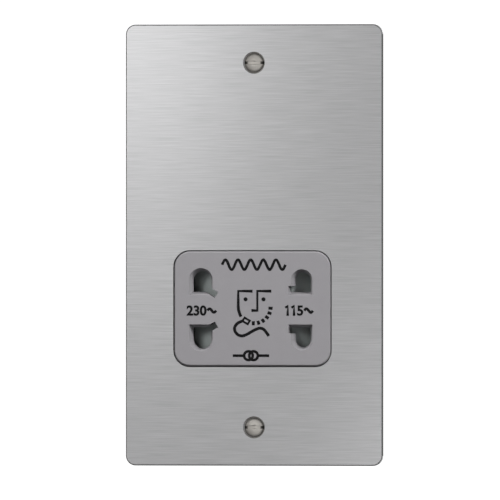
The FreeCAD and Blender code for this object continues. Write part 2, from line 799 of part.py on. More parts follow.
def front_shield():
    """Insulating sheet that closes the housing behind the metal plate."""
    body = new_body("front_shield")
    sheet = Outline(body, "sheet", level="shield_back")
    margin = "2 * (shield_ledge + shield_clearance)"
    sheet.rounded_rectangle(
        "0", "housing_z", f"housing_width - {margin}", f"housing_height - {margin}",
        "housing_corner - shield_ledge",
    )
    sheet.rounded_rectangle(
        "face_x", "face_z", "opening_width", "opening_height", "opening_corner"
    )
    pad(body, sheet, "shield_thick")


def stud_nuts():
    """Four hexagon nuts on the plate's studs."""
    body = new_body("stud_nuts", z="housing_z")
    hexagon = Outline(body, "hexagon", level="tag_back")
    corners = []
    for step in range(6):
        across = "nut_flats / 2 / cos(30)"
        corners.append((
            f"stud_reach + {across} * sin({60 * step})", f"stud_rise + {across} * cos({60 * step})"
        ))
    hexagon.polygon(corners)
    hexagon.flats("stud_reach", "stud_rise", "stud_width + 2 * hole_clearance", SOME_FLATS)
    nut = pad(body, hexagon, "nut_thick", reverse=True)
    mirror_twice(body, [nut])


def stud_washers():
    """Three flat washers: the fourth stud has the earth tag under its nut."""
    body = new_body("stud_washers", z="housing_z")
    rings = Outline(body, "rings", level="ear_back")
    for side, rise in (("", "stud_rise"), ("-", "stud_rise"), ("-", "-stud_rise")):
        rings.flats(f"{side}stud_reach", rise, "tag_width", SOME_FLATS)
        rings.flats(f"{side}stud_reach", rise, "stud_width + 2 * hole_clearance", SOME_FLATS)
    pad(body, rings, "tag_thick", reverse=True)


# Shutter and its springs


def shutter():
    """Slide with a ramp at each end, hollow behind, with a window for its two springs."""
    body = new_body("shutter", x="socket_shift", z="socket_z")
    section = Outline(body, "section", role="XY_Plane")
    section.polygon([
        ("-shutter_length / 2", "-shutter_back"),
        ("-shutter_length / 2", "-ramp_foot"),
        ("-shutter_flat / 2", "-shutter_front"),
        ("shutter_flat / 2", "-shutter_front"),
        ("shutter_length / 2", "-ramp_foot"),
        ("shutter_length / 2", "-shutter_back"),
    ])
    pad(body, section, "shutter_height", symmetric=True)
    window = Outline(body, "window", level="shutter_front - shutter_skin")
    window.rectangle("0", "0", "spring_window", "spring_window_height")
    pocket(body, window)
    hollow = Outline(body, "hollow", level="shutter_front - shutter_skin")
    start = "spring_window_height / 2 + shutter_rib"
    end = "shutter_height / 2 - shutter_rib"
    hollow.rectangle("0", f"({start} + {end}) / 2", "shutter_flat - 2 * shutter_rib", f"{end} - ({start})")
    lower = pocket(body, hollow)
    mirror(body, [lower], "XY_Plane")
    peg = Outline(body, "peg", role="YZ_Plane", level="spring_window / 2")
    peg.flats("-spring_level", "0", "peg_width", FEW_FLATS)
    stub = pad(body, peg, "peg_length", reverse=True)
    mirror(body, [stub], "YZ_Plane")


def spring(name, side):
    """One centring spring, from the fixed post to the end of the shutter's window."""
    radius, near = size("(spring_width - spring_wire) / 2"), "post_width / 2 + spring_clearance"
    start = size(f"{near} + spring_wire / 2")
    length = size("spring_length - spring_wire - 2 * spring_clearance")
    steps = round(size("spring_turns")) * FEW_FLATS
    middle = vector("socket_shift", "-spring_level", "socket_z")
    points = []
    for step in range(steps + 1):
        turn = 2 * math.pi * step / FEW_FLATS
        along = side * (start + length * step / steps)
        offset = FreeCAD.Vector(along, radius * math.cos(turn), radius * math.sin(turn))
        points.append(middle + offset)
    section = regular_wire(points[0], points[1] - points[0], size("spring_wire"), SPRING_FLATS)
    path = Part.makePolygon(points)
    add_shape(name, path.makePipeShell([section], True, False, 1))


def contact_carrier():
    """Moulding behind the shutter: its slide way, the spring post and a pocket for each contact."""
    body = new_body("contact_carrier", x="socket_shift", z="socket_z")
    block = Outline(body, "block", level="board_front")
    block.rectangle("0", "0", "carrier_width", "carrier_height")
    pad(body, block, "carrier_depth")
    rail = Outline(body, "rail", level="slide_floor")
    rail.rectangle("0", "slide_height / 2 + rail_thick / 2", "rail_width", "rail_thick")
    guide = pad(body, rail, "flange_back - slide_floor")
    ear = Outline(body, "ear", level="board_front")
    reach = "carrier_screw_rise + carrier_ear_width / 2 - carrier_height / 2"
    ear.rectangle(
        "carrier_screw_reach", f"carrier_height / 2 + ({reach}) / 2", "carrier_ear_width", reach
    )
    lug = pad(body, ear, "carrier_ear_thick")
    eye = Outline(body, "eye", level="board_front + carrier_ear_thick")
    eye.flats(
        "carrier_screw_reach", "carrier_screw_rise", "carrier_screw_width + 2 * hole_clearance",
        FEW_FLATS,
    )
    bored = pocket(body, eye, "carrier_ear_thick")
    cell = Outline(body, "cell", level="slide_floor")
    cell.rectangle(
        "contact_reach", "contact_rise", "contact_width + 2 * pocket_clearance",
        "contact_mouth + contact_strip + 4 * pocket_clearance",
    )
    well = pocket(body, cell)
    mirror(body, [guide], "XY_Plane")
    mirror_twice(body, [lug, bored, well])
    post = Outline(body, "post", level="slide_floor")
    post.rectangle("0", "0", "post_width", "spring_window_height - 4 * shutter_gap")
    pad(body, post, "shutter_front - shutter_skin - shutter_gap - slide_floor")
    peg = Outline(body, "peg", role="YZ_Plane", level="post_width / 2")
    peg.flats("-spring_level", "0", "peg_width", FEW_FLATS)
    stub = pad(body, peg, "peg_length")
    mirror(body, [stub], "YZ_Plane")
    relief = Outline(body, "relief", level="board_front")
    relief.rectangle(
        "0", "0", "2 * (contact_reach - contact_width / 2 - 2 * rail_thick)",
        "carrier_height - 4 * rail_thick",
    )
    pocket(body, relief, "carrier_depth - 3 * rail_thick", reverse=True)


# Bent strips and leads


def bent_line(points, radius):
    """A wire through the points, with each bend cut across once."""
    line = [points[0]]
    for before, corner, after in zip(points, points[1:], points[2:]):
        arriving = (corner - before).normalize()
        leaving = (after - corner).normalize()
        setback = radius * math.tan(arriving.getAngle(leaving) / 2)
        line += [corner - arriving * setback, corner + leaving * setback]
    return Part.makePolygon(line + [points[-1]])


def bent_strip(points, thickness, bend):
    """The edge-on face of a strip of sheet, bent along the points."""
    side = bent_line(points, bend).makeOffset2D(-thickness / 2, 2, False, True)
    return side.makeOffset2D(thickness, 2, True, True)


def add_shape(name, shape):
    """A sub-part whose shape is worked out here from the sheet."""
    feature = doc.addObject("Part::Feature", name)
    feature.Label = name
    feature.Shape = shape
    return feature


def contact(name, side, rise):
    """One contact: a strip folded to two leaves that meet at a throat, and two solder tails."""
    x0 = size(f"socket_shift + {side} * contact_reach - contact_width / 2")
    middle = size(f"socket_z + {rise} * contact_rise")
    mouth, throat = size("contact_mouth / 2"), size("(contact_throat + contact_strip) / 2")
    belly = size("contact_belly / 2")
    front, pinch = size("slide_floor - contact_setback"), size("slide_floor - throat_depth")
    slack, base = size("slide_floor - belly_depth"), size("board_front + contact_strip")
    profile = [
        (mouth, front), (throat, pinch), (belly, slack), (belly, base),
        (-belly, base), (-belly, slack), (-throat, pinch), (-mouth, front),
    ]
    line = [FreeCAD.Vector(x0, -level, middle + z) for z, level in profile]
    face = bent_strip(line, size("contact_strip"), size("contact_bend"))
    shape = face.extrude(vector("contact_width", "0", "0"))
    thick, width = size("contact_strip"), size("tail_width")
    for step in (-1, 1):
        x = x0 + size("contact_width / 2") + step * size("tail_spacing / 2")
        corner = FreeCAD.Vector(x - width / 2, -base, middle - thick / 2)
        depth = base - size("board_back - tail_stub")
        shape = shape.fuse(Part.makeBox(width, depth, thick, corner))
    add_shape(name, shape.removeSplitter())


def earth_tag():
    """Brass ring under one nut, with a barrel that grips the earth lead."""
    body = new_body("earth_tag", x="stud_reach", z="tag_height")
    ring = Outline(body, "ring", level="ear_back")
    ring.flats("0", "0", "tag_width", SOME_FLATS)
    pad(body, ring, "tag_thick", reverse=True)
    tongue = Outline(body, "tongue", level="ear_back")
    tongue.rectangle("0", "barrel_start / 2", "tag_tongue", "barrel_start")
    pad(body, tongue, "tag_thick", reverse=True)
    eye = Outline(body, "eye", level="ear_back")
    eye.flats("0", "0", "stud_width + 2 * hole_clearance", SOME_FLATS)
    pocket(body, eye)
    barrel = Outline(body, "barrel", role="XY_Plane", level="barrel_start")
    barrel.flats("0", "-earth_lead_front", "barrel_width", FEW_FLATS)
    pad(body, barrel, "barrel_length")
    bore = Outline(body, "bore", role="XY_Plane", level="barrel_start + barrel_length")
    bore.flats("0", "-earth_lead_front", "earth_lead_width + 2 * hole_clearance", FEW_FLATS)
    pocket(body, bore, "barrel_length - barrel_wall")


def earth_lead():
    """Insulated lead from the tag, in through the housing's side and forward to the board."""
    level = {"front": "-earth_lead_front", "back": "-earth_lead_back"}
    start = "tag_height + barrel_start + 2 * barrel_wall"
    line = [
        vector("stud_reach", level["front"], start),
        vector("stud_reach", level["front"], "earth_lead_height"),
        vector("stud_reach", level["back"], "earth_lead_height"),
        vector("earth_lead_reach", level["back"], "earth_lead_height"),
        vector("earth_lead_reach", "-board_front - tail_stub", "earth_lead_height"),
    ]
    add_shape("earth_lead", plain_lead(line, "earth_lead_width", "earth_lead_bend"))


def regular_wire(middle, way, width, sides):
    """A regular polygon of the given width, square to a way."""
    upright = FreeCAD.Vector(0, 0, 1)
    turned = FreeCAD.Rotation(upright, way)
    points = []
    for step in range(sides + 1):
        turn = 2 * math.pi * (step % sides + 0.5) / sides
        corner = FreeCAD.Vector(math.cos(turn), math.sin(turn), 0) * (width / 2)
        points.append(middle + turned.multVec(corner))
    return Part.makePolygon(points)


def plain_lead(line, width, bend):
    """A lead along the points, with a few flats round it."""
    section = regular_wire(line[0], line[1] - line[0], size(width), FEW_FLATS)
    return bent_line(line, size(bend)).makePipeShell([section], True, False, 1)


def lead(place):
    """One insulated lead, from its pin on the bobbin down and back through the board."""
    height = "window_bottom - lead_rail_height"
    line = [
        vector(place, "-lead_level", height),
        vector(place, "-lead_level", "lead_rise"),
        vector(place, "-board_back + tail_stub", "lead_rise"),
    ]
    return plain_lead(line, "lead_width", "lead_bend")


def leads(name, places):
    """A group of leads, each its own solid."""
    add_shape(name, Part.makeCompound([lead(place) for place in places]))


# Board and supply terminals


def main_board():
    """Circuit board between the contacts and the terminals, with every hole that it needs."""
    body = new_body("main_board")
    blank = Outline(body, "blank", level="board_back")
    blank.rectangle(
        "0", "(board_top + board_bottom) / 2", "board_width", "board_top - board_bottom"
    )
    pad(body, blank, "board_thick")
    drilled = Outline(body, "drilled", level="board_front")
    for side in ("1", "-1"):
        for rise in ("1", "-1"):
            drilled.flats(
                f"socket_shift + {side} * carrier_screw_reach",
                f"socket_z + {rise} * carrier_screw_rise",
                "carrier_screw_width + 2 * hole_clearance", FEW_FLATS,
            )
            for tail in ("-1", "1"):
                drilled.rectangle(
                    f"socket_shift + {side} * contact_reach + {tail} * tail_spacing / 2",
                    f"socket_z + {rise} * contact_rise",
                    "tail_width + 2 * hole_clearance", "contact_strip + 2 * hole_clearance",
                )
        drilled.flats(
            f"cutout_shift + {side} * cutout_leg_spacing / 2", "cutout_z",
            "cutout_leg + 2 * hole_clearance", FEW_FLATS,
        )
    for place in PRIMARY_LEADS + SECONDARY_LEADS:
        drilled.flats(place, "lead_rise", "lead_width + 2 * hole_clearance", FEW_FLATS)
    pin = "terminal_pin + 2 * hole_clearance"
    for place in TERMINALS.values():
        drilled.rectangle(place, "block_middle", pin, pin)
    drilled.flats(
        "earth_lead_reach", "earth_lead_height", "earth_lead_width + 2 * hole_clearance",
        FEW_FLATS,
    )
    pocket(body, drilled)


def terminal_block():
    """Moulding that holds the three supply terminals, open behind and below each one."""
    body = new_body("terminal_block", z="block_middle")
    block = Outline(body, "block", level="board_back")
    block.cut_rectangle("0", "0", "block_width", "block_height", "housing_wall / 3")
    pad(body, block, "board_back - block_back", reverse=True)
    cell = Outline(body, "cell", level="block_back")
    cell.rectangle(
        "-terminal_pitch", "0", "terminal_width + 2 * block_clearance",
        "terminal_height + 2 * block_clearance",
    )
    well = pocket(body, cell, "terminal_front - block_back + block_clearance", reverse=True)
    entry = Outline(body, "entry", role="XY_Plane", level="-block_height / 2")
    entry.circle("-terminal_pitch", "-bore_level", "wire_entry")
    mouth = pocket(body, entry, "block_height / 2", reverse=True)
    pin = Outline(body, "pin", level="board_back")
    width = "terminal_pin + 2 * hole_clearance"
    pin.rectangle("-terminal_pitch", "0", width, width)
    drilled = pocket(body, pin, "block_base")
    repeat(body, [well, mouth, drilled], "X_Axis", "terminal_pitch", "3")


def terminal(name, place):
    """Brass clamp with a bore for the wire, a threaded hole for its screw and a pin to the board."""
    body = new_body(name, x=place, z="block_middle")
    block = Outline(body, "block", level="terminal_back")
    block.rectangle("0", "0", "terminal_width", "terminal_height")
    pad(body, block, "terminal_depth")
    bore = Outline(body, "bore", role="XY_Plane", level="terminal_height / 2")
    bore.circle("0", "-bore_level", "terminal_bore")
    pocket(body, bore)
    thread = Outline(body, "thread", level="terminal_back")
    thread.flats("0", "0", "terminal_screw_width + 2 * hole_clearance", SOME_FLATS)
    pocket(body, thread, "bore_level - terminal_back", reverse=True)
    pin = Outline(body, "pin", level="terminal_front")
    pin.rectangle("0", "0", "terminal_pin", "terminal_pin")
    pad(body, pin, "board_front + tail_stub - terminal_front")


def terminal_screws():
    """Three clamp screws, facing the rear, each with a driver slot."""
    body = new_body("terminal_screws", z="block_middle")
    shank = Outline(body, "shank", level="terminal_back - terminal_screw_head_height / 2")
    shank.flats("-terminal_pitch", "0", "terminal_screw_width", SOME_FLATS)
    length = "bore_level - terminal_bore / 2 - terminal_back + terminal_screw_head_height / 2"
    stem = pad(body, shank, f"{length} - hole_clearance")
    head = Outline(body, "head", level="terminal_back - hole_clearance")
    head.flats("-terminal_pitch", "0", "terminal_screw_head", SOME_FLATS)
    cap = pad(body, head, "terminal_screw_head_height", reverse=True)
    groove = Outline(body, "groove", level="terminal_back - hole_clearance - terminal_screw_head_height")
    groove.rectangle("-terminal_pitch", "0", "terminal_screw_head * 1.2", "driver_slot")
    cut = pocket(body, groove, "driver_slot_depth", reverse=True)
    repeat(body, [stem, cap, cut], "X_Axis", "terminal_pitch", "3")


def thermal_cutout():
    """Resettable thermal cut-out: a coated disc on two legs."""
    body = new_body("thermal_cutout", x="cutout_shift", z="cutout_z")
    disc = Outline(body, "disc", level="board_front + cutout_standoff")
    disc.flats("0", "0", "cutout_width", 2 * FEW_FLATS)
    pill = pad(body, disc, "cutout_thick")
    back, front = "board_front + cutout_standoff", "board_front + cutout_standoff + cutout_thick"
    rims = (at_level(back), at_level(front))
    cut_edges(body, pill, lambda box: any(rim(box) for rim in rims), "cutout_thick / 4")
    legs = Outline(body, "legs", level="board_front + cutout_standoff")
    for side in ("", "-"):
        legs.flats(f"{side}cutout_leg_spacing / 2", "0", "cutout_leg", FEW_FLATS)
    pad(body, legs, "cutout_standoff + board_thick + tail_stub", reverse=True)


# Small screws


def cheese_head_screws(name, reach, rise, seat, width, head, head_height, length, z="0", x="0"):
    """Four slotted screws whose heads face the front, a reach and rise from a middle."""
    body = new_body(name, x=x, z=z)
    shank = Outline(body, "shank", level=seat)
    shank.flats(reach, rise, width, FEW_FLATS)
    stem = pad(body, shank, length, reverse=True)
    top = Outline(body, "head", level=seat)
    top.flats(reach, rise, head, SOME_FLATS)
    cap = pad(body, top, head_height)
    groove = Outline(body, "groove", level=f"{seat} + {head_height}")
    groove.rectangle(reach, rise, f"{head} * 1.2", "driver_slot")
    cut = pocket(body, groove, "driver_slot_depth")
    mirror_twice(body, [stem, cap, cut])


# Transformer


def core_stacks():
    """Sheets of silicon steel: a stack of E shapes and the stack of I shapes that closes it."""
    body = new_body("core_e_stack")
    edge, leg = "core_width / 2", "leg_width / 2"
    inner = "core_width / 2 - leg_width / 2"
    low, root, top = "window_bottom", "window_bottom + window_height", "core_top"
    sheet = Outline(body, "sheet", level="core_back")
    sheet.polygon([
        (f"-{edge}", low), (f"-({inner})", low), (f"-({inner})", root), (f"-{leg}", root),
        (f"-{leg}", low), (leg, low), (leg, root), (inner, root), (inner, low), (edge, low),
        (edge, top), (f"-{edge}", top),
    ])
    pad(body, sheet, "stack_thick")
    drill_core(body, "core_top - core_screw_inset")
    body = new_body("core_i_stack")
    bar = Outline(body, "bar", level="core_back")
    bar.rectangle("0", "core_bottom + yoke_height / 2", "core_width", "yoke_height")
    pad(body, bar, "stack_thick")
    drill_core(body, "core_bottom + core_screw_inset")


def drill_core(body, height):
    """The two holes through one stack's corners."""
    holes = Outline(body, "holes", level="core_front")
    for side in ("", "-"):
        holes.flats(
            f"{side}(core_width / 2 - core_screw_inset)", height,
            "core_screw_width + 2 * hole_clearance", FEW_FLATS,
        )
    pocket(body, holes)


def bobbin():
    """Moulded former with three cheeks, open for the middle leg, with a rail for the lead pins."""
    body = new_body("bobbin", y="-core_middle")
    tube = Outline(body, "tube", role="XY_Plane", level="bobbin_bottom")
    tube.rectangle("0", "0", "tube_width", "tube_depth")
    pad(body, tube, "bobbin_length")
    heights = (
        "bobbin_bottom",
        "primary_bottom + primary_length",
        "bobbin_bottom + bobbin_length - bobbin_wall",
    )
    for number, height in enumerate(heights):
        cheek = Outline(body, f"cheek_{number}", role="XY_Plane", level=height)
        cheek.cut_rectangle("0", "0", "cheek_width", "cheek_depth", "bobbin_wall")
        pad(body, cheek, "bobbin_wall")
    rail = Outline(body, "rail", role="XY_Plane", level="bobbin_bottom")
    rail.rectangle(
        "0", "-cheek_depth / 2 + lead_rail_depth / 2", "cheek_width - 2 * bobbin_wall",
        "lead_rail_depth",
    )
    pad(body, rail, "lead_rail_height + bobbin_clearance - hole_clearance", reverse=True)
    bore = Outline(body, "bore", role="XY_Plane", level="bobbin_bottom + bobbin_length")
    bore.rectangle(
        "0", "0", "leg_width + 2 * bobbin_clearance", "stack_thick + 2 * bobbin_clearance"
    )
    pocket(body, bore)


def winding(name, bottom, length):
    """One layered winding, with the round corners that wire takes round a former."""
    body = new_body(name, y="-core_middle")
    ring = Outline(body, "ring", role="XY_Plane", level=bottom)
    ring.cut_rectangle("0", "0", "coil_width", "coil_depth", "coil_corner")
    ring.rectangle("0", "0", "tube_width", "tube_depth")
    pad(body, ring, length)


def winding_tape():
    """Insulating tape round both windings."""
    body = new_body("winding_tape", y="-core_middle")
    spans = (("primary_bottom", "primary_length"), ("secondary_bottom", "secondary_length"))
    for number, (bottom, length) in enumerate(spans):
        band = Outline(body, f"band_{number}", role="XY_Plane", level=bottom)
        band.cut_rectangle(
            "0", "0", "coil_width + 2 * tape_thick", "coil_depth + 2 * tape_thick",
            "coil_corner + (2 - sqrt(2)) * tape_thick",
        )
        band.cut_rectangle("0", "0", "coil_width", "coil_depth", "coil_corner")
        pad(body, band, length)


# Housing


def rear_housing():
    """Moulded box behind the plate, with ears, vents, screw posts and the terminal windows."""
    body = new_body("rear_housing", z="housing_z")
    box = Outline(body, "box", level="plate_back")
    box.rounded_rectangle("0", "0", "housing_width", "housing_height", "housing_corner")
    shell = pad(body, box, "housing_depth", reverse=True)
    cut_edges(body, shell, at_level("housing_back"), "housing_edge_cut")
    ledge = Outline(body, "ledge", level="plate_back")
    ledge.rounded_rectangle(
        "0", "0", "housing_width - 2 * shield_ledge", "housing_height - 2 * shield_ledge",
        "housing_corner - shield_ledge",
    )
    pocket(body, ledge, "shield_thick")
    room = Outline(body, "room", level="plate_back")
    room.rounded_rectangle(
        "0", "0", "housing_width - 2 * housing_wall", "housing_height - 2 * housing_wall",
        "housing_corner - housing_wall",
    )
    pocket(body, room, "housing_depth - housing_floor")
    ear = Outline(body, "ear", level="plate_back")
    ear.rectangle(
        "(housing_width / 2 - shield_ledge / 2 + stud_reach) / 2", "stud_rise",
        "stud_reach - housing_width / 2 + shield_ledge / 2",
        f"2 * ear_radius * cos({180 / SOME_FLATS})",
    )
    tab = pad(body, ear, "ear_thick", reverse=True)
    end = Outline(body, "ear_end", level="plate_back")
    end.flats("stud_reach", "stud_rise", "2 * ear_radius", SOME_FLATS)
    tip = pad(body, end, "ear_thick", reverse=True)
    eye = Outline(body, "ear_eye", level="plate_back")
    eye.flats("stud_reach", "stud_rise", "stud_width + 2 * hole_clearance", SOME_FLATS)
    hole = pocket(body, eye, "ear_thick")
    mirror_twice(body, [tab, tip, hole])
    housing_posts(body)
    housing_vents(body)
    housing_windows(body)


def housing_posts(body):
    """Hollow posts that the transformer's and the carrier's screws bite into."""
    groups = (
        (
            "core_post", "core_back", "0", "core_z - housing_z",
            "core_screw_reach", "core_screw_rise",
            "core_screw_width", "core_screw_grip",
        ),
        (
            "board_post", "board_back", "socket_shift", "socket_z - housing_z",
            "carrier_screw_reach", "carrier_screw_rise", "carrier_screw_width",
            "carrier_screw_grip",
        ),
    )
    for name, level, x, z, reach, rise, width, grip in groups:
        posts = Outline(body, name, level="floor_level")
        holes = Outline(body, f"{name}_hole", level=level)
        for side in ("1", "-1"):
            for up in ("1", "-1"):
                place = (f"{x} + {side} * ({reach})", f"{z} + {up} * ({rise})")
                posts.flats(*place, f"{width} + 2 * hole_clearance + 2 * post_wall", SOME_FLATS)
                holes.flats(*place, f"{width} + 2 * hole_clearance", FEW_FLATS)
        pad(body, posts, f"{level} - floor_level")
        pocket(body, holes, f"{grip} + 2 * hole_clearance")


def housing_vents(body):
    """Rows of cooling slots behind and beside the transformer."""
    middle = "core_z - housing_z"
    first = f"{middle} - (vent_count - 1) / 2 * vent_pitch"
    rear = Outline(body, "rear_vent", level="floor_level")
    rear.cut_rectangle("0", first, "vent_length", "vent_width", "vent_width / 3")
    slot = pocket(body, rear)
    repeat(body, [slot], "Z_Axis", "vent_pitch", "vent_count")
    side = Outline(body, "side_vent", role="YZ_Plane", level="housing_width / 2")
    side.cut_rectangle(
        "-core_middle", first, "stack_thick - vent_width", "vent_width", "vent_width / 3"
    )
    opening = pocket(body, side)
    repeat(body, [opening], "Z_Axis", "vent_pitch", "vent_count")


def housing_windows(body):
    """Openings for the terminal block, its wires and the earth lead."""
    rear = Outline(body, "terminal_window", level="floor_level")
    rear.rectangle(
        "0", "block_middle - housing_z", "block_width + 2 * block_clearance",
        "block_height + 2 * block_clearance",
    )
    pocket(body, rear)
    wires = Outline(body, "wire_window", role="XY_Plane", level="block_bottom - housing_z")
    wires.cut_rectangle(
        "0", "-bore_level", "2 * terminal_pitch + 1.4 * wire_entry", "1.4 * wire_entry",
        "wire_entry / 3",
    )
    pocket(body, wires, "2 * housing_wall")
    earth = Outline(body, "earth_entry", role="YZ_Plane", level="housing_width / 2")
    earth.flats(
        "-earth_lead_back", "earth_lead_height - housing_z",
        "earth_lead_width + 4 * hole_clearance", FEW_FLATS,
    )
    pocket(body, earth, "2 * housing_wall")


PRIMARY_LEADS = ("-3.5 * lead_pitch", "-2.5 * lead_pitch")
SECONDARY_LEADS = ("1.5 * lead_pitch", "2.5 * lead_pitch", "3.5 * lead_pitch")
TERMINALS = {
    "live_terminal": "-terminal_pitch",
    "neutral_terminal": "0",
    "earth_terminal": "terminal_pitch",
}
CONTACTS = {
    "contact_230_upper": (-1, 1),
    "contact_230_lower": (-1, -1),
    "contact_115_upper": (1, 1),
    "contact_115_lower": (1, -1),
}


def build():
    """Every sub-part, from the front of the plate to the back of the housing."""
    front_plate()
    wall_gasket()
    fixing_screws()
    socket_face()
    front_shield()
    stud_nuts()
    stud_washers()
    shutter()
    spring("shutter_spring_left", -1)
    spring("shutter_spring_right", 1)
    contact_carrier()
    for name, (side, rise) in CONTACTS.items():
        contact(name, side, rise)
    cheese_head_screws(
        "carrier_screws", "carrier_screw_reach", "carrier_screw_rise",
        "board_front + carrier_ear_thick", "carrier_screw_width", "carrier_screw_head",
        "carrier_screw_head_height", "carrier_ear_thick + board_thick + carrier_screw_grip",
        x="socket_shift", z="socket_z",
    )
    main_board()
    terminal_block()
    for name, place in TERMINALS.items():
        terminal(name, place)
    terminal_screws()
    thermal_cutout()
    earth_tag()
    earth_lead()
    core_stacks()
    bobbin()
    winding("primary_winding", "primary_bottom", "primary_length")
    winding("secondary_winding", "secondary_bottom", "secondary_length")
    winding_tape()
    cheese_head_screws(
        "core_screws", "core_screw_reach", "core_screw_rise",
        "core_front", "core_screw_width", "core_screw_head", "core_screw_head_height",
        "stack_thick + core_screw_grip", z="core_z",
    )
    leads("primary_leads", PRIMARY_LEADS)
    leads("secondary_leads", SECONDARY_LEADS)
    rear_housing()


SUB_PARTS = (
    "front_plate", "wall_gasket", "fixing_screws", "socket_face", "front_shield", "stud_nuts",
    "stud_washers", "shutter", "shutter_spring_left", "shutter_spring_right", "contact_carrier", *CONTACTS,
    "carrier_screws", "main_board", "terminal_block", *TERMINALS, "terminal_screws",
    "thermal_cutout", "earth_tag", "earth_lead", "core_e_stack", "core_i_stack", "bobbin",
    "primary_winding", "secondary_winding", "winding_tape", "core_screws", "primary_leads",
    "secondary_leads", "rear_housing",
)


def export():
    """Checks every object, then writes one file for each sub-part."""
    doc.recompute()
    failed = [item.Name for item in doc.Objects if {"Invalid", "Error"} & set(item.State)]
    if failed:
        raise RuntimeError(f"these objects failed: {failed}")
    parts = [doc.getObjectsByLabel(name)[0] for name in SUB_PARTS]
    for part in parts:
        if part.Shape.isNull() or not part.Shape.isValid() or not part.Shape.Solids:
            raise RuntimeError(f"{part.Label} has no valid solid")
    os.makedirs("parts", exist_ok=True)
    for part in parts:
        part.Shape.exportStep(f"parts/{part.Label}.step")
        box = part.Shape.BoundBox
        print(
            f"{part.Label:22s} solids {len(part.Shape.Solids)}  volume {part.Shape.Volume:9.1f}"
            f"  x {box.XMin:7.2f} {box.XMax:7.2f}  y {box.YMin:7.2f} {box.YMax:7.2f}"
            f"  z {box.ZMin:7.2f} {box.ZMax:7.2f}"
        )


make_sheet()
make_layout()
build()
export()
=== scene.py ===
"""Dual-voltage shaver socket on a brushed steel plate: finishes, screws, leads, signs, springs and light.

Blender's units are metres. +X is to the right, +Z is up, and the room is at -Y. Sizes held by the
classes are millimetres, and a level is a height above the wall plane towards the room. Only the
lights, the floor and the camera's distances are metres.
"""

from __future__ import annotations

import logging
import math
from dataclasses import dataclass
from enum import Enum
from typing import Any, Sequence

import bmesh
import bpy
from mathutils import Matrix, Vector


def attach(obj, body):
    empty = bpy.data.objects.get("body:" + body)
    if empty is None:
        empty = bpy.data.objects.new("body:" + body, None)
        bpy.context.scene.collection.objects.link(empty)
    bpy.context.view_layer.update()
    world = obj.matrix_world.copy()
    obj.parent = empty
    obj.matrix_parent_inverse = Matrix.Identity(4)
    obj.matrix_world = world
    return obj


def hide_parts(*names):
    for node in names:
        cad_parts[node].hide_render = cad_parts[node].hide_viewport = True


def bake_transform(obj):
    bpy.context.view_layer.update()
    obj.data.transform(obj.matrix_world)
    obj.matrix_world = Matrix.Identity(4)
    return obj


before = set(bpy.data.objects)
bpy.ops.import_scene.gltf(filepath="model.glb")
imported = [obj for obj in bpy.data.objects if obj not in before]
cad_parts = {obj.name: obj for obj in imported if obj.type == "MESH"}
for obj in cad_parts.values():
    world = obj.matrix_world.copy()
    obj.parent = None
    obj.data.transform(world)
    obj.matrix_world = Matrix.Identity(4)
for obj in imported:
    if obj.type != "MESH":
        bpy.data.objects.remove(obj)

Tree = bpy.types.NodeTree
Source = bpy.types.Node | bpy.types.NodeSocket
Mesh = bmesh.types.BMesh
Pair = tuple[float, float]
Place = tuple[float, float, float]

LOG = logging.getLogger("shaver_socket")
MM = 0.001
FULL_TURN = 2 * math.pi
QUARTER_TURN = math.pi / 2
SMOOTH_ANGLE = 35.0
SCREW_RISE = 60.3
WHITE = "#FFFFFF"


class Body(Enum):
    """The two bodies that a piece can ride on."""

    SOCKET = "socket"
    SHUTTER = "shutter"


class Grain(Enum):
    """The way in which the marks of a brushed surface run."""

    LEVEL = (1.0, 0.0, 0.0)
    UPRIGHT = (0.0, 0.0, 1.0)


def linear(code: str) -> tuple[float, float, float, float]:
    """Turns an sRGB hex colour to linear values, by the curve of the sRGB standard.

    Args:
        code: The colour, as #RRGGBB.

    Returns:
        Red, green, blue and an alpha of 1.
    """
    parts = [int(code[i:i + 2], 16) / 255 for i in (1, 3, 5)]
    red, green, blue = (
        value / 12.92 if value <= 0.04045 else ((value + 0.055) / 1.055) ** 2.4 for value in parts
    )
    return red, green, blue, 1.0


def add_node(
    tree: Tree,
    kind: str,
    settings: dict[str | int, Any] | None = None,
    links: dict[str | int, Source] | None = None,
) -> bpy.types.Node:
    """Adds a shader node with its settings and its links.

    Args:
        tree: The node tree that gets the node.
        kind: The node's type without the leading ShaderNode.
        settings: Properties by name, and values of inputs by name or number.
        links: The output that feeds each input, by name or number, or a node for its first output.

    Returns:
        The new node.
    """
    node = tree.nodes.new(f"ShaderNode{kind}")
    for key, value in (settings or {}).items():
        if isinstance(key, str) and hasattr(node, key):
            setattr(node, key, value)
        else:
            node.inputs[key].default_value = value
    for key, source in (links or {}).items():
        output = source.outputs[0] if isinstance(source, bpy.types.Node) else source
        tree.links.new(output, node.inputs[key])
    return node


# Finishes


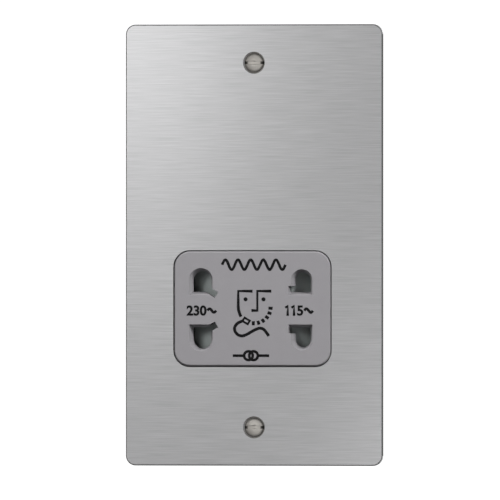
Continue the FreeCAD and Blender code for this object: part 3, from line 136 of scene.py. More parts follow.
@dataclass(frozen=True)
class Finish:
    """A surface with a fine grain: what every finish of this socket starts from.

    Widths and heights of the pattern are millimetres. A real surface's grain is finer, about a tenth of
    a millimetre, and is drawn coarser so that it shows.
    """

    name: str
    colour: str
    roughness: float
    grain: float = 0.4
    relief: float = 0.006
    wander: float = 0.06
    rough_wander: float = 0.06
    metallic: float = 0.0
    ior: float = 1.5
    coat: float = 0.0
    cloud_grains: float = 14.0
    tone_range: Pair = (0.6, 1.4)

    def material(self) -> bpy.types.Material:
        """Makes the material the first time, and finds it again after that.

        Returns:
            The Blender material of this finish.
        """
        found = bpy.data.materials.get(self.name)
        if found is not None:
            return found
        made = bpy.data.materials.new(self.name)
        made.use_nodes = True
        tree = made.node_tree
        shader = tree.nodes["Principled BSDF"]
        shader.inputs["Metallic"].default_value = self.metallic
        if not self.metallic:
            shader.inputs["IOR"].default_value = self.ior
        shader.inputs["Coat Weight"].default_value = self.coat
        place = add_node(tree, "TexCoord").outputs["Object"]
        height = self.height(tree, place)
        bump = add_node(tree, "Bump", {"Distance": self.relief * MM}, {"Height": height})
        tree.links.new(bump.outputs["Normal"], shader.inputs["Normal"])
        tree.links.new(self.tint(tree, place, height), shader.inputs["Base Color"])
        rough = add_node(
            tree, "MapRange",
            {"To Min": self.roughness - self.rough_wander, "To Max": self.roughness + self.rough_wander},
            {"Value": height},
        )
        tree.links.new(rough.outputs[0], shader.inputs["Roughness"])
        self.extra(tree, shader)
        return made

    def height(self, tree: Tree, place: Source) -> Source:
        """Makes the relief of the surface, a fine noise from 0 to 1."""
        settings = {"Scale": 1 / (self.grain * MM), "Detail": 3.0, "Roughness": 0.6}
        return add_node(tree, "TexNoise", settings, {"Vector": place})

    def tint(self, tree: Tree, place: Source, height: Source) -> Source:
        """Makes the colour, which wanders a little over the surface as that of a real part does.

        Args:
            tree: The material's nodes.
            place: Object coordinates.
            height: The relief, from 0 to 1.

        Returns:
            The colour.
        """
        cloud = add_node(
            tree, "TexNoise", {"Scale": 1 / (self.cloud_grains * self.grain * MM), "Detail": 2.0},
            {"Vector": place},
        )
        both = add_node(tree, "Math", {"operation": "ADD"}, {0: cloud, 1: height})
        return self.toned(tree, both)

    def toned(self, tree: Tree, level: Source) -> Source:
        """Goes from the darkest to the lightest tone of the colour.

        Args:
            tree: The material's nodes.
            level: What the tone follows, over the tone range.

        Returns:
            The colour.
        """
        dark, light = (
            tuple(min(1.0, value * share) for value in linear(self.colour)[:3]) + (1.0,)
            for share in (1 - self.wander, 1 + self.wander)
        )
        low, high = self.tone_range
        share = add_node(tree, "MapRange", {"From Min": low, "From Max": high}, {"Value": level})
        mixed = add_node(tree, "Mix", {"data_type": "RGBA", 6: dark, 7: light}, {0: share})
        return mixed.outputs[2]

    def extra(self, tree: Tree, shader: bpy.types.Node) -> None:
        """Adds what only some finishes have; a plain one adds nothing."""


@dataclass(frozen=True)
class BrushedMetal(Finish):
    """Metal brushed or drawn one way, so its marks are long and fine.

    Real marks are about a twentieth of a millimetre wide, and are drawn wider so that they show.
    """

    metallic: float = 1.0
    tone_range: Pair = (0.3, 0.7)
    mark_width: float = 0.3
    mark_length: float = 12.0
    coarse_width: float = 3.5
    coarse_length: float = 2.2
    coarse_share: float = 0.22
    way: Grain = Grain.LEVEL
    stretch: float = 0.55
    edge_roughness: float | None = None
    edge_shade_share: float = 1.0
    facing_range: Pair = (0.80, 0.95)

    def height(self, tree: Tree, place: Source) -> Source:
        """Makes the brush marks: fine ones with wider, fainter ones among them.

        Args:
            tree: The material's nodes.
            place: Object coordinates.

        Returns:
            A height from 0 to 1.
        """
        layers = []
        for width, length in ((1.0, 1.0), (self.coarse_width, self.coarse_length)):
            across = 1 / (self.mark_width * width * MM)
            down = 1 / (self.mark_length * length * MM)
            scale = [down if part else across for part in self.way.value]
            mapped = add_node(tree, "Mapping", {"Scale": scale}, {"Vector": place})
            noise = add_node(tree, "TexNoise", {"Scale": 1.0, "Detail": 2.0}, {"Vector": mapped})
            layers.append(noise)
        return add_node(tree, "Mix", {0: self.coarse_share}, {2: layers[0], 3: layers[1]})

    def tint(self, tree: Tree, place: Source, height: Source) -> Source:
        """Makes the marks a little lighter and darker than the sheet, and paints shade on its cut edges.

        Args:
            tree: The material's nodes.
            place: Object coordinates; not used.
            height: The brush marks, from 0 to 1.

        Returns:
            The colour.
        """
        marked = self.toned(tree, height)
        if self.edge_roughness is None:
            return marked
        # Painted shade: the cut edges take the sheet's colour darkened by this share.
        edge = tuple(value * self.edge_shade_share for value in linear(self.colour)[:3]) + (1.0,)
        sheet = add_node(tree, "Mix", {"data_type": "RGBA", 6: edge}, {0: self.facing(tree), 7: marked})
        return sheet.outputs[2]

    def facing(self, tree: Tree) -> Source:
        """Tells the sheet's flat faces from its cut edges.

        Args:
            tree: The material's nodes.

        Returns:
            1 on a face that looks to the room or the wall, and 0 on an edge.
        """
        normal = add_node(tree, "NewGeometry").outputs["True Normal"]
        parts = add_node(tree, "SeparateXYZ", links={0: normal})
        level = add_node(tree, "Math", {"operation": "ABSOLUTE"}, {0: parts.outputs["Y"]})
        edge, face = self.facing_range
        return add_node(tree, "MapRange", {"From Min": edge, "From Max": face}, {"Value": level})

    def extra(self, tree: Tree, shader: bpy.types.Node) -> None:
        """Stretches the gloss across the marks, and smooths the cut edges where the finish says so.

        Args:
            tree: The material's nodes.
            shader: The material's shader.
        """
        shader.inputs["Anisotropic"].default_value = self.stretch
        normal = add_node(tree, "NewGeometry").outputs["Normal"]
        tangent = add_node(
            tree, "VectorMath", {"operation": "CROSS_PRODUCT", 1: self.way.value}, {0: normal},
        )
        tree.links.new(tangent.outputs[0], shader.inputs["Tangent"])
        if self.edge_roughness is None:
            return
        rough = add_node(
            tree, "Mix", {2: self.edge_roughness},
            {0: self.facing(tree), 3: shader.inputs["Roughness"].links[0].from_socket},
        )
        tree.links.new(rough.outputs[0], shader.inputs["Roughness"])


@dataclass(frozen=True)
class SlottedNickel(Finish):
    """Nickel plate on the two slotted heads, with painted shade where each slot runs out."""

    slot_half: float = 0.55
    slot_full: float = 0.385
    unshaded_reach: float = 1.9
    shade_reach: float = 2.35
    slot_shade: str = "#4A4845"

    def tint(self, tree: Tree, place: Source, height: Source) -> Source:
        """Paints shade into both ends of each slot.

        Args:
            tree: The material's nodes.
            place: Object coordinates.
            height: The relief, from 0 to 1.

        Returns:
            The colour.
        """
        parts = add_node(tree, "SeparateXYZ", links={0: place})
        across, up = (
            add_node(tree, "Math", {"operation": "ABSOLUTE"}, {0: parts.outputs[axis]}) for axis in "XZ"
        )
        off = add_node(tree, "Math", {"operation": "SUBTRACT", 1: SCREW_RISE * MM}, {0: up})
        beside = add_node(tree, "Math", {"operation": "ABSOLUTE"}, {0: off})
        inside, outer = (
            add_node(tree, "MapRange", {"From Min": none * MM, "From Max": full * MM}, {"Value": distance})
            for none, full, distance in (
                (self.slot_half, self.slot_full, beside), (self.unshaded_reach, self.shade_reach, across),
            )
        )
        share = add_node(tree, "Math", {"operation": "MULTIPLY"}, {0: inside, 1: outer})
        # Painted shade: both ends of each slot are darkened towards a dark shade colour.
        mixed = add_node(
            tree, "Mix", {"data_type": "RGBA", 7: linear(self.slot_shade)},
            {0: share, 6: super().tint(tree, place, height)},
        )
        return mixed.outputs[2]


@dataclass(frozen=True)
class Foam(Finish):
    """Closed-cell foam, whose skin shows its cells."""

    def height(self, tree: Tree, place: Source) -> Source:
        """Makes the cells, as a height from 0 to 1."""
        return add_node(tree, "TexVoronoi", {"Scale": 1 / (self.grain * MM)}, {"Vector": place})


@dataclass(frozen=True)
class Banded(Finish):
    """Even bands along one axis, such as stacked sheets or wire wound in a layer."""

    axis: str = "Y"
    pitch: float = 0.5
    unevenness: float = 0.25
    drift_bands: float = 6.0

    def height(self, tree: Tree, place: Source) -> Source:
        """Makes the bands, round on top and sharp between, and not quite even.

        Args:
            tree: The material's nodes.
            place: Object coordinates.

        Returns:
            A height from 0 to 1.
        """
        noise = add_node(
            tree, "TexNoise", {"Scale": 1 / (self.drift_bands * self.pitch * MM), "Detail": 1.0},
            {"Vector": place},
        )
        parts = add_node(tree, "SeparateXYZ", links={0: place})
        shifted = add_node(
            tree, "Math", {"operation": "MULTIPLY_ADD", 1: self.unevenness * self.pitch * MM},
            {0: noise, 2: parts.outputs[self.axis]},
        )
        angle = add_node(
            tree, "Math", {"operation": "MULTIPLY", 1: math.pi / (self.pitch * MM)}, {0: shifted},
        )
        wave = add_node(tree, "Math", {"operation": "SINE"}, {0: angle})
        return add_node(tree, "Math", {"operation": "ABSOLUTE"}, {0: wave})


@dataclass(frozen=True)
class TwoColour(Finish):
    """Insulation with a stripe of a second colour along the wire."""

    stripe: str = "#D9C02A"
    stripe_range: Pair = (0.22, 0.28)

    def tint(self, tree: Tree, place: Source, height: Source) -> Source:
        """Colours the side of the wire that faces right.

        Args:
            tree: The material's nodes.
            place: Object coordinates; not used.
            height: The relief, from 0 to 1; not used.

        Returns:
            The colour.
        """
        normal = add_node(tree, "NewGeometry").outputs["Normal"]
        parts = add_node(tree, "SeparateXYZ", links={0: normal})
        low, high = self.stripe_range
        side = add_node(
            tree, "MapRange", {"From Min": low, "From Max": high}, {"Value": parts.outputs["X"]},
        )
        mixed = add_node(
            tree, "Mix", {"data_type": "RGBA", 6: linear(self.colour), 7: linear(self.stripe)}, {0: side},
        )
        return mixed.outputs[2]


# Austenitic stainless sheet, belt-brushed level: a long soft sheen, and cut edges smoother, with painted
# shade on them.
PLATE_STEEL = BrushedMetal(
    "brushed_stainless_steel", "#B8B8B9", 0.36, relief=0.004, wander=0.12, rough_wander=0.05,
    edge_roughness=0.18, edge_shade_share=0.62,
)
# Black cross-linked foam, die-cut: matt, with small cells on its skin.
GASKET_FOAM = Foam("black_cell_foam", "#2A2B2C", 0.9, grain=0.5, relief=0.05)
# Nickel-plated brass, turned: a warm soft grey, dulled by handling, with painted shade at the slots' ends.
NICKEL = SlottedNickel("nickel_plated_brass", "#CBC7C1", 0.52, grain=0.3, metallic=1.0)
# Mid-grey urea moulding from a spark-eroded tool: satin, with a grain that is only just seen.
GREY_MOULDING = Finish("grey_urea_moulding", "#8F8D90", 0.46, grain=0.25, relief=0.004, wander=0.025)
# Slippery grey acetal: smoother, paler and a shade greener than the face.
SHUTTER_MOULDING = Finish(
    "grey_acetal_moulding", "#A9B0AE", 0.38, grain=0.3, relief=0.002, wander=0.02, ior=1.48,
)
# Vulcanised fibre, rolled: dull, with a soft cloudy tone.
SHIELD_SHEET = Finish("vulcanised_fibre_sheet", "#26282A", 0.7, grain=0.35, relief=0.01, wander=0.1)
# Zinc-plated steel, clear passivated: cool, fine-grained and half glossy.
ZINC = Finish("zinc_plated_steel", "#BFC4C8", 0.36, grain=0.2, relief=0.003, wander=0.08, metallic=1.0)
# Spring steel wire, drawn: bright and smooth.
SPRING_WIRE = Finish(
    "drawn_spring_steel", "#B4B6B8", 0.25, grain=0.15, relief=0.001, wander=0.05, metallic=1.0,
)
# Black glass-filled nylon, moulded: matt, with a slight swirl from its fibres.
CARRIER_NYLON = Finish("black_filled_nylon", "#26282A", 0.5, grain=0.5, relief=0.008, wander=0.12)
# Phosphor bronze strip, blanked and bent: warm, with rolling lines.
BRONZE = BrushedMetal(
    "phosphor_bronze_strip", "#C58F5E", 0.3, relief=0.002, mark_width=0.12, mark_length=6.0,
    way=Grain.UPRIGHT, stretch=0.3,
)
# Glass epoxy laminate under green solder mask: glossy, with the weave just showing.
BOARD_LAMINATE = Banded(
    "green_masked_laminate", "#2C6B3E", 0.3, relief=0.002, wander=0.04, axis="X", pitch=0.6,
)
# Natural filled nylon of the terminal block, moulded: off-white and satin.
TERMINAL_NYLON = Finish("natural_filled_nylon", "#D8D6CC", 0.45, wander=0.03)
# Brass bar, sawn and drilled: yellow, with fine drawn lines.
TERMINAL_BRASS = BrushedMetal(
    "free_cutting_brass", "#C9A457", 0.27, relief=0.002, mark_width=0.1, mark_length=5.0,
    way=Grain.UPRIGHT, stretch=0.3,
)
# Steel clamp screws, yellow passivated: a faint gold over grey.
SCREW_STEEL = Finish(
    "passivated_screw_steel", "#C8BC98", 0.33, grain=0.2, relief=0.003, wander=0.1, metallic=1.0,
)
# Epoxy dip of the thermal cut-out: blue, glossy and slightly uneven.
CUTOUT_COATING = Finish("blue_epoxy_dip", "#2E4E7C", 0.28, grain=1.2, relief=0.03, wander=0.08, coat=0.3)
# Tinned copper, stamped: pale, soft and slightly clouded.
TINNED = Finish("tinned_copper", "#C9C8C4", 0.35, grain=0.3, relief=0.004, wander=0.07, metallic=1.0)
# Earth insulation, extruded: green PVC with a yellow stripe and a soft sheen.
EARTH_INSULATION = TwoColour("green_and_yellow_pvc", "#2F8A45", 0.42, grain=0.3, relief=0.004)
# Electrical steel sheets, stacked and varnished: dark bands with bright edges.
CORE_STEEL = Banded("varnished_core_steel", "#6B6A6A", 0.42, relief=0.03, wander=0.3, metallic=0.85)
# Natural filled nylon of the bobbin, moulded: ivory and satin.
BOBBIN_NYLON = Finish("ivory_filled_nylon", "#CFC9B4", 0.45, wander=0.04)
# Enamelled wire, layer-wound: coppery ridges under clear lacquer.
COPPER_WIRE = Banded(
    "enamelled_copper_wire", "#A8572B", 0.26, relief=0.12, wander=0.15, metallic=0.9, coat=0.5, axis="Z",
    pitch=0.45,
)
# Polyester tape wrapped over the wire: yellow and glossy, with the turns below showing through.
TAPE = Banded("yellow_polyester_tape", "#D8B43A", 0.26, relief=0.02, axis="Z", pitch=0.45, coat=0.3)
# Extruded PVC on the leads of the mains side and of the tapped side: even, with a soft sheen.
PRIMARY_PVC = Finish("brown_pvc", "#5A3522", 0.42, grain=0.3, relief=0.004)
SECONDARY_PVC = Finish("blue_pvc", "#2A4F86", 0.42, grain=0.3, relief=0.004)
# Graphite flame-retardant ABS, moulded in a spark-eroded tool: half matt, with a fine grain.
HOUSING_ABS = Finish("graphite_abs", "#46484C", 0.55, grain=0.45, relief=0.014, wander=0.05)
# Pad-printed two-part ink: black, flat and matt.
INK = Finish("black_pad_ink", "#0B0B0C", 0.6, grain=0.15, relief=0.002, wander=0.1, ior=1.25)

FINISHED_NODES: dict[Finish, tuple[str, ...]] = {
    PLATE_STEEL: ("front_plate",),
    GASKET_FOAM: ("wall_gasket",),
    NICKEL: ("fixing_screws",),
    GREY_MOULDING: ("socket_face",),
    SHIELD_SHEET: ("front_shield",),
    ZINC: ("stud_nuts", "stud_washers", "carrier_screws", "core_screws"),
    SHUTTER_MOULDING: ("shutter",),
    SPRING_WIRE: ("shutter_spring_left", "shutter_spring_right"),
    CARRIER_NYLON: ("contact_carrier",),
    BRONZE: ("contact_230_upper", "contact_230_lower", "contact_115_upper", "contact_115_lower"),
    BOARD_LAMINATE: ("main_board",),
    TERMINAL_NYLON: ("terminal_block",),
    TERMINAL_BRASS: ("live_terminal", "neutral_terminal", "earth_terminal"),
    SCREW_STEEL: ("terminal_screws",),
    CUTOUT_COATING: ("thermal_cutout",),
    TINNED: ("earth_tag",),
    EARTH_INSULATION: ("earth_lead",),
    CORE_STEEL: ("core_e_stack", "core_i_stack"),
    BOBBIN_NYLON: ("bobbin",),
    COPPER_WIRE: ("primary_winding", "secondary_winding"),
    TAPE: ("winding_tape",),
    PRIMARY_PVC: ("primary_leads",),
    SECONDARY_PVC: ("secondary_leads",),
    HOUSING_ABS: ("rear_housing",),
}


# Making and placing pieces


def new_object(name: str, data: bpy.types.ID) -> bpy.types.Object:
    """Puts an object with this data into the scene."""
    made = bpy.data.objects.new(name, data)
    bpy.context.scene.collection.objects.link(made)
    return made


def finished(
    mesh: Mesh, name: str, material: bpy.types.Material, smooth: float | None = SMOOTH_ANGLE,
) -> bpy.types.Object:
    """Makes an object of a mesh whose points are already in the frame's place, in metres.

    Args:
        mesh: The mesh, which is used up.
        name: The piece's name.
        material: The material of the whole piece.
        smooth: The angle in degrees up to which edges shade smoothly, or None for flat faces.

    Returns:
        The new object, at the origin.
    """
    data = bpy.data.meshes.new(name)
    mesh.to_mesh(data)
    mesh.free()
    made = new_object(name, data)
    data.materials.append(material)
    if smooth is not None:
        data.shade_smooth()
        data.set_sharp_from_angle(angle=math.radians(smooth))
    return made


def hand_over(piece: bpy.types.Object, instead_of: str | None = None) -> None:
    """Hides the node that a piece stands for, if any, and reports the piece.

    Args:
        piece: The piece.
        instead_of: The node that it stands for, if any.
    """
    if instead_of:
        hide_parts(instead_of)
    LOG.info("made %s with %d faces", piece.name, len(piece.data.polygons))


def fix_on_socket(piece: bpy.types.Object, instead_of: str | None = None) -> None:
    """Lets a piece ride on the socket, and hands it over."""
    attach(piece, Body.SOCKET.value)
    hand_over(piece, instead_of)


def merge_in(target: Mesh, source: Mesh) -> None:
    """Adds one mesh to another.

    Args:
        target: The mesh that grows.
        source: The mesh that is added and used up.
    """
    data = bpy.data.meshes.new("part")
    source.to_mesh(data)
    source.free()
    target.from_mesh(data)
    bpy.data.meshes.remove(data)


def mesh_of_curve(curve: bpy.types.Curve) -> Mesh:
    """Turns a curve or a text to a mesh, and throws the curve away.

    Args:
        curve: The curve or text.

    Returns:
        The mesh, in the curve's own units.
    """
    maker = new_object(curve.name, curve)
    bpy.context.view_layer.update()
    data = bpy.data.meshes.new_from_object(maker)
    made = bmesh.new()
    made.from_mesh(data)
    bpy.data.objects.remove(maker)
    bpy.data.curves.remove(curve)
    bpy.data.meshes.remove(data)
    return made


def fill_ends(mesh: Mesh) -> None:
    """Closes the open ends of a mesh with one face each."""
    ends = [edge for edge in mesh.edges if edge.is_boundary]
    bmesh.ops.holes_fill(mesh, edges=ends, sides=0)


def copied_node(name: str, weld: float = 0.0005) -> Mesh:
    """Copies a node's mesh and merges its loose triangles.

    Args:
        name: The node.
        weld: The distance within which points are merged, in millimetres.

    Returns:
        The merged copy, in metres.
    """
    mesh = bmesh.new()
    mesh.from_mesh(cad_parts[name].data)
    bmesh.ops.remove_doubles(mesh, verts=mesh.verts, dist=weld * MM)
    return mesh


def cut_off(mesh: Mesh, depth: float, side: int, reach: float = 1e-8) -> None:
    """Cuts a mesh at a depth behind the wall plane, throws one side away, and closes the cut.

    Args:
        mesh: The mesh.
        depth: The cut's place along Y, in millimetres.
        side: 1 to throw away what is deeper, and -1 to throw away what is nearer to the room.
        reach: How near a point counts as on the cut, in metres.
    """
    bmesh.ops.bisect_plane(
        mesh, geom=[*mesh.verts, *mesh.edges, *mesh.faces], dist=reach, plane_co=(0, depth * MM, 0),
        plane_no=(0, side, 0), clear_outer=True,
    )
    fill_ends(mesh)


@dataclass(frozen=True)
class Thread:
    """A screw thread along Y, from one depth behind the wall plane to another.

    The flats at root and crest are shares of the pitch, and each end has spare turns that are cut off.
    """

    width: float
    pitch: float
    start: float
    end: float
    steps: int = 20
    depth_share: float = 0.6
    root_flat: float = 0.2
    crest_flat: float = 0.1
    spare_turns: float = 1.5
    weld: float = 0.001

    def mesh(self, x: float, z: float) -> Mesh:
        """Sweeps one turn's profile along a helix, so that each turn meets the next.

        Args:
            x: The axis's place across, in millimetres.
            z: The axis's place up, in millimetres.

        Returns:
            The threaded rod with flat ends, in metres.
        """
        crest = self.width / 2
        root = crest - self.depth_share * self.pitch
        foot, top = self.root_flat / 2, (1 - self.crest_flat) / 2
        shares = ((root, 0.0), (root, foot), (crest, top), (crest, 1 - top), (root, 1 - foot), (root, 1.0))
        low = self.start - self.spare_turns * self.pitch
        made = bmesh.new()
        points = [(radius * MM, (low + share * self.pitch) * MM, 0.0) for radius, share in shares]
        corners = [made.verts.new(point) for point in points]
        chain = [made.edges.new(pair) for pair in zip(corners, corners[1:])]
        turns = math.ceil((self.end - self.start) / self.pitch + 2 * self.spare_turns)
        bmesh.ops.spin(
            made, geom=[*corners, *chain], cent=(0, 0, 0), axis=(0, 1, 0),
            dvec=(0, self.pitch * MM / self.steps, 0), angle=FULL_TURN * turns,
            steps=self.steps * turns, use_merge=False,
        )
        bmesh.ops.remove_doubles(made, verts=made.verts, dist=self.weld * MM)
        cut_off(made, self.end, 1)
        cut_off(made, self.start, -1)
        bmesh.ops.recalc_face_normals(made, faces=made.faces)
        bmesh.ops.translate(made, verts=made.verts, vec=(x * MM, 0, z * MM))
        return made


@dataclass(frozen=True)
class BentWire:
    """Round wire in straight runs, with a smooth bend at each square corner."""

    corners: tuple[Place, ...]
    width: float
    bend: float
    sides: int = 16
    steps: int = 8

    def mesh(self) -> Mesh:
        """Draws a ring out along each run and spins it round each corner.

        Returns:
            The wire with flat ends, in metres.
        """
        made = bmesh.new()
        points = [Vector(corner) * MM for corner in self.corners]
        at, bend = points[0], self.bend * MM
        turned = Vector((0, 0, 1)).rotation_difference(points[1] - at).to_matrix().to_4x4()
        bmesh.ops.create_circle(
            made, segments=self.sides, radius=self.width / 2 * MM, matrix=Matrix.Translation(at) @ turned,
        )
        last: list[Any] = [*made.verts, *made.edges]
        for corner, after in zip(points[1:], points[2:]):
            way, onward = (corner - at).normalized(), (after - corner).normalized()
            last = self.draw_out(made, last, corner - way * bend - at)
            last = bmesh.ops.spin(
                made, geom=last, cent=corner + (onward - way) * bend, axis=way.cross(onward),
                angle=QUARTER_TURN, steps=self.steps, use_merge=False,
            )["geom_last"]
            at = corner + onward * bend
        self.draw_out(made, last, points[-1] - at)
        fill_ends(made)
        bmesh.ops.recalc_face_normals(made, faces=made.faces)
        return made

    @staticmethod
    def draw_out(mesh: Mesh, last: Sequence[Any], move: Vector) -> list[Any]:
        """Makes one straight run.

        Args:
            mesh: The mesh that grows.
            last: The points and edges of the open end.
            move: The run, in metres.

        Returns:
            The points and edges of the new open end.
        """
        edges = [item for item in last if isinstance(item, bmesh.types.BMEdge)]
        grown = bmesh.ops.extrude_edge_only(mesh, edges=edges)["geom"]
        points = [item for item in grown if isinstance(item, bmesh.types.BMVert)]
        bmesh.ops.translate(mesh, verts=points, vec=move)
        rim = [
            item for item in grown
            if isinstance(item, bmesh.types.BMEdge) and all(point in points for point in item.verts)
        ]
        return [*points, *rim]


# Sub-assemblies


@dataclass(frozen=True)
class FixingScrews:
    """The plate's two fixing screws, with real threads behind their heads."""

    thread: Thread = Thread(width=3.5, pitch=0.6, start=2.5, end=21.4)

    def build(self) -> None:
        """Makes the two screws: the solid's head and point, and a thread between them."""
        mesh = copied_node("fixing_screws")
        points = copied_node("fixing_screws")
        cut_off(mesh, self.thread.start, 1)
        cut_off(points, self.thread.end, -1)
        merge_in(mesh, points)
        for side in (1, -1):
            merge_in(mesh, self.thread.mesh(0.0, side * SCREW_RISE))
        piece = finished(mesh, "fixing_screws_threaded", NICKEL.material())
        fix_on_socket(piece, "fixing_screws")


@dataclass(frozen=True)
class Leads:
    """The insulated leads: one from the earth tag, and five from the windings to the board."""

    earth_width: float = 2.0
    earth_bend: float = 2.5
    earth_corners: tuple[Place, ...] = (
        (33.68, 1.6, -44.25), (33.68, 1.6, -36.45), (33.68, 25.1, -36.45), (26.27, 25.1, -36.45),
        (26.27, 19.7, -36.45),
    )
    lead_width: float = 1.5
    lead_bend: float = 3.0
    lead_front: float = 2.7
    lead_tail: float = 22.9
    lead_top: float = 10.5
    lead_rise: float = 0.8
    primary_places: tuple[float, ...] = (-13.65, -9.75)
    secondary_places: tuple[float, ...] = (5.85, 9.75, 13.65)

    def build(self) -> None:
        """Makes the earth lead and the two groups of winding leads."""
        earth = BentWire(self.earth_corners, self.earth_width, self.earth_bend).mesh()
        piece = finished(earth, "earth_lead_round", EARTH_INSULATION.material())
        fix_on_socket(piece, "earth_lead")
        for name, slot, finish, places in (
            ("primary_leads", "primary_insulation", PRIMARY_PVC, self.primary_places),
            ("secondary_leads", "secondary_insulation", SECONDARY_PVC, self.secondary_places),
        ):
            group = bmesh.new()
            for x in places:
                corners = (
                    (x, self.lead_front, self.lead_top), (x, self.lead_front, self.lead_rise),
                    (x, self.lead_tail, self.lead_rise),
                )
                merge_in(group, BentWire(corners, self.lead_width, self.lead_bend).mesh())
            fix_on_socket(finished(group, f"{name}_round", finish.material()), name)


@dataclass(frozen=True)
class SignStroke:
    """One printed line: the points that it runs through, and whether it is smooth or has corners."""

    points: tuple[Pair, ...]
    smooth: bool = False
    closed: bool = False


@dataclass(frozen=True)
class SignWave:
    """A printed sine wave, the sign for alternating current; its reach is half its length."""

    x: float
    z: float
    reach: float
    rise: float
    waves: int = 1
    steps: int = 16

    def stroke(self) -> SignStroke:
        """Draws the wave.

        Returns:
            The wave as a smooth stroke.
        """
        count = self.steps * self.waves
        shares = [step / count for step in range(count + 1)]
        points = tuple(
            (
                self.x + self.reach * (2 * share - 1),
                self.z + self.rise * math.sin(FULL_TURN * self.waves * share),
            )
            for share in shares
        )
        return SignStroke(points, smooth=True)


